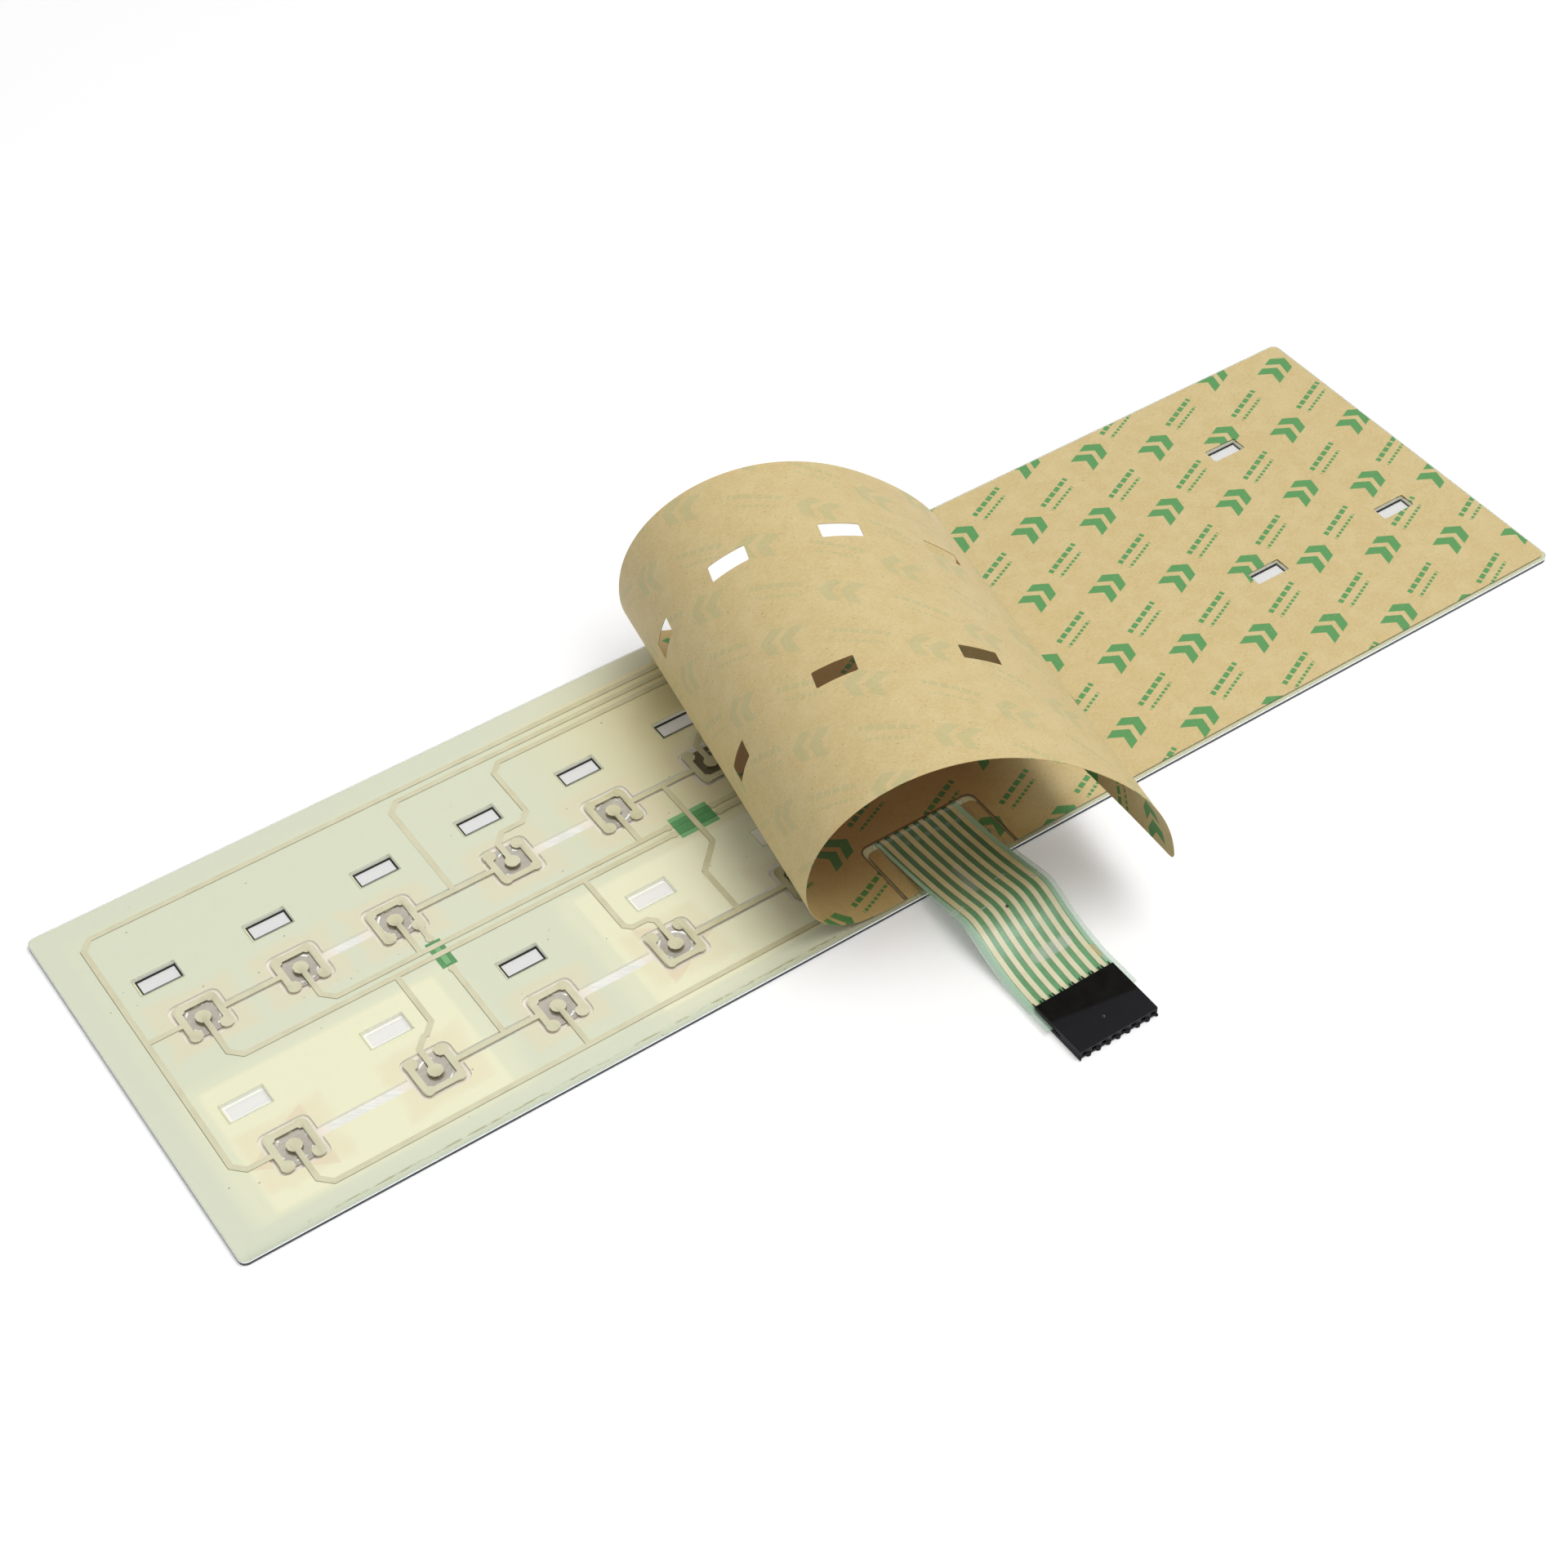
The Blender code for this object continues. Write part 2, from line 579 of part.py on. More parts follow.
def build_rows():
    """The row lines: contact rings joined along their row, each with its line to the tail."""
    d1, d2, d3, d4, d5, d6 = UPPER_DOMES
    e1, e2, e3, e4, e5 = LOWER_DOMES
    top_1, top_2, _ = TOP_LINES
    ink("row_line_1", key_row((d1, d2), UPPER_ROW, (1, 1)) + ring(e1, LOWER_ROW, 1) + [
        line(drop(6), (TAIL_LINES[6], top_1), (EDGE_LINE, top_1), (EDGE_LINE, LOWER_ROW),
             (e1 - RING_BAR, LOWER_ROW)),
        line((EDGE_LINE, UPPER_ROW), (d1 - RING_BAR, UPPER_ROW))])
    feed = (d3 + RING_BAR + d4 - RING_BAR) / 2
    foot = d3 + RING_PAD - LINE_WIDTH / 10
    ink("row_line_2", key_row((d3, d4), UPPER_ROW, (1, -1)) + [
        line(drop(5), (TAIL_LINES[5], top_2), (feed, top_2), (feed, UPPER_ROW)),
        line((foot, UPPER_ROW - RING_PAD_RISE), (foot, BUS_3 + BUS_PITCH)),
        disc(foot, BUS_3 + BUS_PITCH, END_PAD_RADIUS)])
    below = BUS_2 - 2 * BUS_PITCH
    ink("row_line_2_lower", key_row((e2, e3), LOWER_ROW, (-1, 1)) + [
        line((foot, below), (foot, LOWER_ROW)), disc(foot, below, END_PAD_RADIUS)])
    middle = (d5 + d6) / 2
    lower = middle - STEP_ASIDE
    ink("row_line_3", key_row((d5, d6), UPPER_ROW, (1, -1)) + key_row((e4, e5), LOWER_ROW, (-1, 1)) + [
        line((middle, UPPER_ROW), (middle, BUS_2 - STEP_ASIDE), (lower, BUS_2 - 2 * STEP_ASIDE),
             (lower, LOWER_ROW), mitre=LINE_WIDTH / 4),
        line((d6 + RING_BAR, UPPER_ROW), (TAIL_LINES[3], UPPER_ROW), drop(3))])
    f1, = FAR_UPPER
    g1, g2, g3 = FAR_LOWER
    right = PANEL_LENGTH - EDGE_LINE
    leave = LOWER_ROW + FEED_ABOVE_LOWER - BUS_PITCH
    ink("row_line_4", key_row((g1, g2, g3), LOWER_ROW, (-1, -1, -1)) + ring(f1, UPPER_ROW, -1) + [
        line(drop(7), (TAIL_LINES[7], leave), (g1 - 3 * RING_BAR, leave), (g1 - 3 * RING_BAR, LOWER_ROW),
             (g1 - RING_BAR, LOWER_ROW)),
        line((g3 + RING_BAR, LOWER_ROW), (right, LOWER_ROW), (right, UPPER_ROW),
             (f1 + RING_BAR, UPPER_ROW))])


def bus_ends():
    """Where the two buses stop and start again, either side of the third row line."""
    middle = (UPPER_DOMES[4] + UPPER_DOMES[5]) / 2
    reach = PITCH * 2.3
    return middle - reach, middle + reach


def window_feed(x, row, level, bus, side, mitre=MITRE):
    """Line from a bus to a dome's dot, which passes beside the key's window."""
    return line((x + side, bus), (x + side, level), (x, level), (x, row), mitre=mitre)


def build_columns():
    """The column lines: contact dots joined by the front bus, the two long buses and a top line."""
    d1, d2, d3, d4, d5, d6 = UPPER_DOMES
    e1, e2, e3, e4, e5 = LOWER_DOMES
    left_end, right_start = bus_ends()
    up = TAIL_CENTRE - TAB_HALF_WIDTH - 2 * BUS_PITCH
    over = LOWER_ROW + FEED_ABOVE_LOWER - BUS_PITCH
    ink("column_line_1", [dot(x, LOWER_ROW) for x in (e1, e3, e5)] + [
        line((e1, LOWER_ROW), (e1, FRONT_BUS), (up, FRONT_BUS), (up, over), (TAIL_LINES[0], over), drop(0)),
        line((e3, LOWER_ROW), (e3, FRONT_BUS)), line((e5, LOWER_ROW), (e5, FRONT_BUS)),
        line((TAIL_LINES[0], CROSSING_LEVELS[0]), (TAIL_LINES[0], LOWER_ROW)),
        disc(TAIL_LINES[0], CROSSING_LEVELS[0], END_PAD_RADIUS)])
    ink("column_line_2_left", [dot(d1, UPPER_ROW), dot(e2, LOWER_ROW), dot(e4, LOWER_ROW)] + [
        line((d1, UPPER_ROW), (d1, BUS_2), (left_end, BUS_2)), disc(left_end, BUS_2, END_PAD_RADIUS),
        window_feed(e2, LOWER_ROW, LOWER_FEED, BUS_2, LOWER_FEED_SIDES[0]),
        window_feed(e4, LOWER_ROW, LOWER_FEED, BUS_2, LOWER_FEED_SIDES[1], LINE_WIDTH)])
    ink("column_line_2", [disc(right_start, BUS_2, END_PAD_RADIUS),
                          line((right_start, BUS_2), (TAIL_LINES[1], BUS_2), drop(1))])
    ink("column_line_3_left", [dot(x, UPPER_ROW) for x in (d2, d3, d5)] + [
        line((d2, UPPER_ROW), (d2, BUS_3), (left_end, BUS_3)), disc(left_end, BUS_3, END_PAD_RADIUS),
        line((d3, UPPER_ROW), (d3, BUS_3)), line((d5, UPPER_ROW), (d5, BUS_3))])
    ink("column_line_3", [disc(right_start, BUS_3, END_PAD_RADIUS),
                          line((right_start, BUS_3), (TAIL_LINES[2], BUS_3), drop(2))])
    top = TOP_LINES[2]
    first = d4 + UPPER_FEED_SIDE
    ink("column_line_4", [dot(d4, UPPER_ROW), dot(d6, UPPER_ROW)] + [
        line(drop(4), (TAIL_LINES[4], top), (first, top), (first, UPPER_FEED), (d4, UPPER_FEED),
             (d4, UPPER_ROW)),
        window_feed(d6, UPPER_ROW, UPPER_FEED, top, UPPER_FEED_SIDE)])


def build_far_columns():
    """The column lines of the far keys, which start where the jumpers leave the tail's lines."""
    start = TAIL_LINES[-1] + 2 * PITCH
    f1, = FAR_UPPER
    g1, g2, g3 = FAR_LOWER
    beside = WINDOW_LENGTH / 2 + 2 * BUS_PITCH
    ends = (((g1 + beside, LOWER_FEED), (g1, LOWER_FEED), (g1, LOWER_ROW)),
            ((g2 - beside, LOWER_FEED), (g2, LOWER_FEED), (g2, LOWER_ROW)),
            ((g3 - beside, LOWER_FEED), (g3, LOWER_FEED), (g3, LOWER_ROW)),
            ((f1 - 2 * beside, UPPER_FEED), (f1, UPPER_FEED), (f1, UPPER_ROW)))
    for i, (crossing, level, end) in enumerate(zip(CROSSING_LEVELS, FAR_LEVELS, ends)):
        step = start + FAR_LEVEL_PITCH * (len(ends) - i)
        ink(f"column_line_{i + 1}_far", [
            disc(start, crossing, END_PAD_RADIUS), dot(*end[-1]),
            line((start, crossing), (step, crossing), (step, level), (end[0][0], level), *end)])


def build_crossings():
    """Green insulating patches where lines cross, and the jumpers printed under them."""
    coat = {"level": COAT_LEVEL, "spec": GREEN_COAT}
    foot = UPPER_DOMES[2] + RING_PAD - LINE_WIDTH / 10
    ink("insulating_patch_1", [rectangle(foot - 1.3 * LINE_WIDTH, BUS_2 - 1.6 * BUS_PITCH,
                                         foot + 1.3 * LINE_WIDTH, BUS_3 + 0.6 * BUS_PITCH)], **coat)
    ink("jumper_1", [line((foot, BUS_2 - 2 * BUS_PITCH), (foot, BUS_3 + BUS_PITCH))], level=JUMPER_LEVEL)
    left_end, right_start = bus_ends()
    ink("insulating_patch_2", [rectangle(left_end + END_PAD_RADIUS, BUS_2 - 0.8 * BUS_PITCH,
                                         right_start - END_PAD_RADIUS, BUS_3 + 0.8 * BUS_PITCH)], **coat)
    for i, bus in enumerate((BUS_2, BUS_3)):
        ink(f"jumper_{i + 2}", [line((left_end, bus), (right_start, bus))], level=JUMPER_LEVEL)
    start = TAIL_LINES[-1] + 2 * PITCH
    owners = (0, 1, 2, 4)
    half = FAR_LEVEL_PITCH / 2
    ink("insulating_patch_3", [rectangle(TAIL_LINES[k] + PITCH / 2, level - half,
                                         start - END_PAD_RADIUS, level + half)
                               for k, level in zip(owners, CROSSING_LEVELS)], **coat)
    for i, (k, level) in enumerate(zip(owners, CROSSING_LEVELS)):
        ink(f"jumper_{i + 4}", [line((TAIL_LINES[k], level), (start, level))], level=JUMPER_LEVEL)


# Connector

def side_profile(points, left, right):
    """A solid with the given side view (y, z), from left to right."""
    solid = bmesh.new()
    face = solid.faces.new([solid.verts.new((left, y, z)) for y, z in points])
    raised = bmesh.ops.extrude_face_region(solid, geom=[face])["geom"]
    side = [item for item in raised if isinstance(item, bmesh.types.BMVert)]
    bmesh.ops.translate(solid, verts=side, vec=(right - left, 0, 0))
    return solid


def boolean(target, tool, operation):
    """Cut or join with a hidden tool object."""
    tool.hide_render = True
    tool.display_type = "WIRE"
    modifier = target.modifiers.new(tool.name, "BOOLEAN")
    modifier.operation = operation
    modifier.solver = "EXACT"
    modifier.object = tool


def gather(name, parts):
    """Several small solids as one hidden tool."""
    tool = bmesh.new()
    for part in parts:
        mesh = bpy.data.meshes.new(name)
        bmesh.ops.recalc_face_normals(part, faces=part.faces[:])
        part.to_mesh(mesh)
        part.free()
        tool.from_mesh(mesh)
        bpy.data.meshes.remove(mesh)
    return finish(name, tool, BLACK_PLASTIC)


def build_housing():
    """The crimped receptacle: a slot for the film, pin cavities with lobes between them, and claws."""
    back, front = HOUSING_BACK, HOUSING_BACK - HOUSING_DEPTH
    slot_end = HOUSING_BACK - FILM_SLOT_DEPTH
    low, high = HOUSING_MIDDLE - FILM_SLOT / 2, HOUSING_MIDDLE + FILM_SLOT / 2
    left, right = HOUSING_CENTRE - HOUSING_HALF, HOUSING_CENTRE + HOUSING_HALF
    cut = HOUSING_CHAMFER
    profile = [(back, cut), (back, low), (slot_end, low), (slot_end, high), (back, high),
               (back, HOUSING_HEIGHT - cut), (back - cut, HOUSING_HEIGHT), (front + cut, HOUSING_HEIGHT),
               (front, HOUSING_HEIGHT - cut), (front, cut), (front + cut, 0), (back - cut, 0)]
    housing = finish("connector_housing", side_profile(profile, left, right), BLACK_PLASTIC)
    half = PIN_CAVITY / 2
    cavities, claws = [], []
    for x in PINS:
        cavities.append(sheet([rectangle(x - half, front - PIN_CAVITY, x + half, slot_end + PIN_CAVITY)], [],
                              HOUSING_MIDDLE - half, PIN_CAVITY))
        for side in (-1, 1):
            root = x + side * (LINE_WIDTH + CLAW_WIDTH) / 2
            tip = root + side * CLAW_WIDTH / 4
            low_x, high_x = root - CLAW_WIDTH / 2, root + CLAW_WIDTH / 2
            claw = [(low_x, back - CLAW_WIDTH), (high_x, back - CLAW_WIDTH), (high_x, back),
                    (tip, back + CLAW_LENGTH), (low_x, back)]
            claws.append(sheet([claw], [], high + LAYER_GAP, CLAW_HEIGHT))
    between_pins = [disc(PINS[0] + PITCH * (i - 0.5), front + LOBE_INSET, LOBE_RADIUS)
                    for i in range(LINES + 1)]
    outside = [rectangle(left - PITCH, front - PITCH, left, front + PITCH),
               rectangle(right, front - PITCH, right + PITCH, front + PITCH)]
    lobes = sheet(between_pins, outside, 0, HOUSING_MIDDLE - half)
    boolean(housing, gather("pin_cavities", cavities), "DIFFERENCE")
    boolean(housing, gather("lip_lobes", [lobes]), "UNION")
    boolean(housing, gather("film_claws", claws), "UNION")


def build_contact(name, x):
    """A folded strip: flat under the film, a sprung fork for the pin in front of it."""
    floor = HOUSING_MIDDLE - FILM_SLOT / 2 + CONTACT_GAP
    roof = HOUSING_MIDDLE + FILM_SLOT / 2 - CONTACT_GAP
    spread = PIN_CAVITY / 2 - CONTACT_SHEET - CONTACT_GAP
    back = HOUSING_BACK - CONTACT_SHEET
    web = HOUSING_BACK - FILM_IN_SLOT - 2 * CONTACT_SHEET
    open_at = HOUSING_BACK - FILM_SLOT_DEPTH - 3 * CONTACT_SHEET
    pinch = HOUSING_BACK - HOUSING_DEPTH + 2 * PIN_CAVITY
    mouth = HOUSING_BACK - HOUSING_DEPTH + PIN_CAVITY / 2
    lower = [(back, floor), (open_at, floor), ((open_at + pinch) / 2, HOUSING_MIDDLE - spread),
             (pinch, floor), (mouth, HOUSING_MIDDLE - spread)]
    upper = [(y, 2 * HOUSING_MIDDLE - z) for y, z in reversed(lower[1:])]
    thick = CONTACT_SHEET
    outline = (lower + [(y, z + thick) for y, z in reversed(lower[2:])]
               + [(web - thick, floor + thick), (web - thick, roof - thick)]
               + [(y, z - thick) for y, z in reversed(upper[:-2])])
    outline += [(y, z) for y, z in upper[:-1]]
    outline += [(web, roof), (web, floor + thick), (back, floor + thick)]
    finish(name, side_profile(outline, x - CONTACT_WIDTH / 2, x + CONTACT_WIDTH / 2), CONTACT_TIN)


def main():
    """Clear the scene and build every piece."""
    for old in list(bpy.data.objects):
        bpy.data.objects.remove(old, do_unlink=True)
    build_front()
    for number, (x, y) in enumerate(DOMES, start=1):
        build_dome(f"snap_dome_{number}", x, y)
    build_rows()
    build_columns()
    build_far_columns()
    build_crossings()
    build_film()
    build_back()
    build_housing()
    for number, x in enumerate(PINS, start=1):
        build_contact(f"contact_{number}", x)


main()
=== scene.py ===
"""Looks of a membrane keypad: its rolled kraft liner, clear films, printed circuit and studio."""

import json
import logging
import math
from collections.abc import Callable
from dataclasses import dataclass, field
from enum import Enum
from functools import partial, reduce

import bpy
from mathutils import Matrix, Vector


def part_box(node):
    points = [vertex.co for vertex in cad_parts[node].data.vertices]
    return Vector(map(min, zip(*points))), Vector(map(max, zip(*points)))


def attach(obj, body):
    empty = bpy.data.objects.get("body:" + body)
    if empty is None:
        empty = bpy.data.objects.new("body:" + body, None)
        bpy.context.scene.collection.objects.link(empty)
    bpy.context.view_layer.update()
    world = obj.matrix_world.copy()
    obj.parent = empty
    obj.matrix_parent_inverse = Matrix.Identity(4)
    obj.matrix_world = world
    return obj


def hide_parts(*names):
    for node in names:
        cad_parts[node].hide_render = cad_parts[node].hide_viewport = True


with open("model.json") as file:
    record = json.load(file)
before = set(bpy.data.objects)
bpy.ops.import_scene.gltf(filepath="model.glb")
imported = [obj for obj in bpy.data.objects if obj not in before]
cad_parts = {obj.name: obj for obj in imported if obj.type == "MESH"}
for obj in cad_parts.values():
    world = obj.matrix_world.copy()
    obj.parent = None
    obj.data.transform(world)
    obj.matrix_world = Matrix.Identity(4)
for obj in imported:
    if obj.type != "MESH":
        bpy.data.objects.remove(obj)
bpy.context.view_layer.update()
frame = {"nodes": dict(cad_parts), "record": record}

LOG = logging.getLogger("keypad")
MM = 0.001
PANEL_LENGTH = 342.9
PANEL_WIDTH = 96.5
CENTRE = (PANEL_LENGTH / 2, PANEL_WIDTH / 2)
LINER_LEVEL = 1.425
TAIL_MIDDLE = 170.65
SMOOTH_ANGLE = math.radians(30)
TOP_SIDE = 0.3

Socket = bpy.types.NodeSocket
Piece = bpy.types.Object
Material = bpy.types.Material
Value = Socket | float | tuple
Point = tuple[float, float]
Colour = tuple[float, float, float]
Place = tuple[float, float, float]
Linear = tuple[float, float, float, float]

WHITE = (1.0, 1.0, 1.0, 1.0)
# Black of the panel's edge line: partly printed edge, partly painted contact shadow.
EDGE_INK_AND_SHADOW = (26, 26, 30)


# Small helpers

def tone(colour: Colour) -> Linear:
    """Turn an sRGB colour of 0 to 255 into the linear colour, with alpha, that a shader takes."""
    def linear(part: float) -> float:
        """Linear value of one part."""
        share = part / 255
        return share / 12.92 if share <= 0.04045 else ((share + 0.055) / 1.055) ** 2.4
    return (*(linear(part) for part in colour), 1.0)


def as_linear(colour: Value) -> Value:
    """A plain sRGB colour as a linear one, and anything else as it is."""
    return tone(colour) if isinstance(colour, tuple) and len(colour) == 3 else colour


def mode(kind: str) -> None:
    """Switch the active object to OBJECT or EDIT mode."""
    bpy.ops.object.mode_set(mode=kind)


def added(name: str, data: bpy.types.ID) -> Piece:
    """Put a new object of some data into the scene."""
    piece = bpy.data.objects.new(name, data)
    bpy.context.scene.collection.objects.link(piece)
    return piece


def only(piece: Piece) -> None:
    """Select one piece alone and make it active, in object mode."""
    if bpy.context.object and bpy.context.object.mode != "OBJECT":
        mode("OBJECT")
    bpy.ops.object.select_all(action="DESELECT")
    piece.select_set(True)
    bpy.context.view_layer.objects.active = piece


def edit_all(piece: Piece) -> None:
    """Enter edit mode with the whole mesh of one piece selected."""
    only(piece)
    mode("EDIT")
    bpy.ops.mesh.select_all(action="SELECT")


def pick_upright(piece: Piece, wanted: Callable[[Vector], bool]) -> None:
    """Enter edit mode with only those upright edges selected whose place is wanted."""
    edit_all(piece)
    bpy.ops.mesh.select_mode(type="EDGE")
    bpy.ops.mesh.select_all(action="DESELECT")
    mode("OBJECT")
    vertices = piece.data.vertices
    for edge in piece.data.edges:
        first, second = (vertices[i].co for i in edge.vertices)
        edge.select = (first.xy - second.xy).length < 1e-6 and wanted(first)
    mode("EDIT")


def block(name: str, low: tuple, high: tuple, radius: float, steps: int = 4,
          corners: Callable[[Vector], bool] = lambda place: True) -> Piece:
    """Model an upright block with rounded corners, in plan millimetres.

    Args:
        name: The object's name.
        low: Its lowest corner.
        high: Its highest corner.
        radius: The radius of its upright corners.
        steps: How many faces each corner has.
        corners: Which upright edges are rounded, by their place.

    Returns:
        The block as a mesh object at the origin.
    """
    size = [b - a for a, b in zip(low, high)]
    centre = [(a + b) / 2 for a, b in zip(low, high)]
    bpy.ops.mesh.primitive_cube_add(size=1, location=centre, scale=size)
    piece = bpy.context.object
    piece.name = name
    only(piece)
    bpy.ops.object.transform_apply()
    pick_upright(piece, corners)
    bpy.ops.mesh.bevel(offset=radius, segments=steps, affect="EDGES")
    mode("OBJECT")
    return piece


def joined(pieces: list[Piece]) -> Piece:
    """Join pieces into the first, which is returned."""
    only(pieces[0])
    for piece in pieces:
        piece.select_set(True)
    if len(pieces) > 1:
        bpy.ops.object.join()
    return pieces[0]


def apply_all(piece: Piece) -> None:
    """Apply all of a piece's modifiers, in their order."""
    only(piece)
    for modifier in list(piece.modifiers):
        bpy.ops.object.modifier_apply(modifier=modifier.name)


def cut_out(piece: Piece, cutter: Piece) -> None:
    """Cut a cutter's shape out of a piece and remove the cutter."""
    modifier = piece.modifiers.new("slit_shadow", "BOOLEAN")
    modifier.operation = "DIFFERENCE"
    modifier.solver = "EXACT"
    modifier.object = cutter
    apply_all(piece)
    bpy.data.objects.remove(cutter)


def merged_copy(node: str, name: str) -> Piece:
    """Copy a CAD node, merge its loose triangles and shade it smooth.

    Args:
        node: The CAD node's name.
        name: The new piece's name.

    Returns:
        The new piece, at the origin.
    """
    piece = added(name, frame["nodes"][node].data.copy())
    piece.data.name = name
    edit_all(piece)
    bpy.ops.mesh.remove_doubles(threshold=1e-7)
    mode("OBJECT")
    bpy.ops.object.shade_smooth_by_angle(angle=SMOOTH_ANGLE)
    return piece


def rim(piece: Piece, width: float, towards: Point | None = None) -> None:
    """Part a narrow rim off a sheet's upper face and give it the second material.

    Args:
        piece: A thin sheet, flat or bent, whose mesh is merged.
        width: The rim's width in millimetres.
        towards: The plan direction of the edges that get it, or None for all.
    """
    mesh = piece.data
    edit_all(piece)
    bpy.ops.mesh.dissolve_limited(angle_limit=math.radians(0.2))
    bpy.ops.mesh.select_mode(type="FACE")
    bpy.ops.mesh.select_all(action="DESELECT")
    mode("OBJECT")
    mesh.polygons.foreach_set("select", [polygon.normal.z > TOP_SIDE for polygon in mesh.polygons])
    mode("EDIT")
    bpy.ops.mesh.select_mode(type="FACE")
    bpy.ops.mesh.inset(thickness=width * MM, depth=0, use_boundary=True, use_even_offset=True)
    mode("OBJECT")
    owners: dict[tuple[int, int], list[int]] = {}
    for polygon in mesh.polygons:
        for key in polygon.edge_keys:
            owners.setdefault(key, []).append(polygon.index)
    top = [polygon.normal.z > TOP_SIDE for polygon in mesh.polygons]
    for polygon in mesh.polygons:
        if not top[polygon.index] or polygon.select:
            continue
        for key in polygon.edge_keys:
            if all(top[index] for index in owners[key]):
                continue
            middle = sum((mesh.vertices[i].co for i in key), Vector()) / 2
            out = (middle - polygon.center).xy
            if towards is None or out.normalized().dot(Vector(towards)) > 0.2:
                polygon.material_index = 1


def dress(piece: Piece, *materials: Material) -> None:
    """Give a piece one material for each of its slots, in place of those it has."""
    piece.data.materials.clear()
    for material in materials:
        piece.data.materials.append(material)


def stand_in(piece: Piece, node: str) -> None:
    """Let a piece stand for a CAD node.

    Args:
        piece: The new piece.
        node: The CAD node that it replaces.
    """
    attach(piece, "root")
    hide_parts(node)
    LOG.info("%s stands for %s: %d faces", piece.name, node, len(piece.data.polygons))


# Materials

class Nodes:
    """A node tree, with short calls for the steps that the finishes and the sky share."""

    def __init__(self, tree: bpy.types.NodeTree) -> None:
        """Take the tree that the calls add to."""
        self.tree = tree

    def feed(self, socket: Socket, value: Value) -> None:
        """Link an input to an output, or set it to a plain value."""
        if isinstance(value, bpy.types.NodeSocket):
            self.tree.links.new(value, socket)
        else:
            socket.default_value = value

    def node(self, kind: str, inputs: dict, **settings: object) -> bpy.types.Node:
        """Add a node.

        Args:
            kind: The node's type.
            inputs: Values or outputs for its inputs, by name or number.
            settings: Its other settings.

        Returns:
            The node.
        """
        made = self.tree.nodes.new(kind)
        for key, value in settings.items():
            setattr(made, key, value)
        for key, value in inputs.items():
            self.feed(made.inputs[key], value)
        return made

    def parts(self, vector: Socket) -> tuple[Socket, Socket, Socket]:
        """The three parts of a vector."""
        return tuple(self.node("ShaderNodeSeparateXYZ", {0: vector}).outputs)

    def math(self, operation: str, *values: Value) -> Socket:
        """One step of arithmetic, by the Math node's name for it."""
        return self.node("ShaderNodeMath", dict(enumerate(values)), operation=operation).outputs[0]

    def times(self, *values: Value) -> Socket:
        """The product of all values."""
        return reduce(partial(self.math, "MULTIPLY"), values)

    def most(self, *values: Value) -> Socket:
        """The largest of all values."""
        return reduce(partial(self.math, "MAXIMUM"), values)

    def least(self, *values: Value) -> Socket:
        """The smallest of all values."""
        return reduce(partial(self.math, "MINIMUM"), values)

    def line(self, value: Value, slope: float, start: Value) -> Socket:
        """A value times a slope, plus a start."""
        return self.math("MULTIPLY_ADD", value, slope, start)

    def rest(self, share: Value) -> Socket:
        """What a share leaves of 1."""
        return self.math("SUBTRACT", 1.0, share)

    def apart(self, first: Value, second: Value) -> Socket:
        """How far two values are apart."""
        return self.math("ABSOLUTE", self.math("SUBTRACT", first, second))

    def seen(self) -> Socket:
        """1 for what the camera sees straight, in a reflection or through something."""
        path = self.node("ShaderNodeLightPath", {}).outputs
        return self.most(*(path[f"Is {kind} Ray"] for kind in ("Camera", "Glossy", "Transmission")))


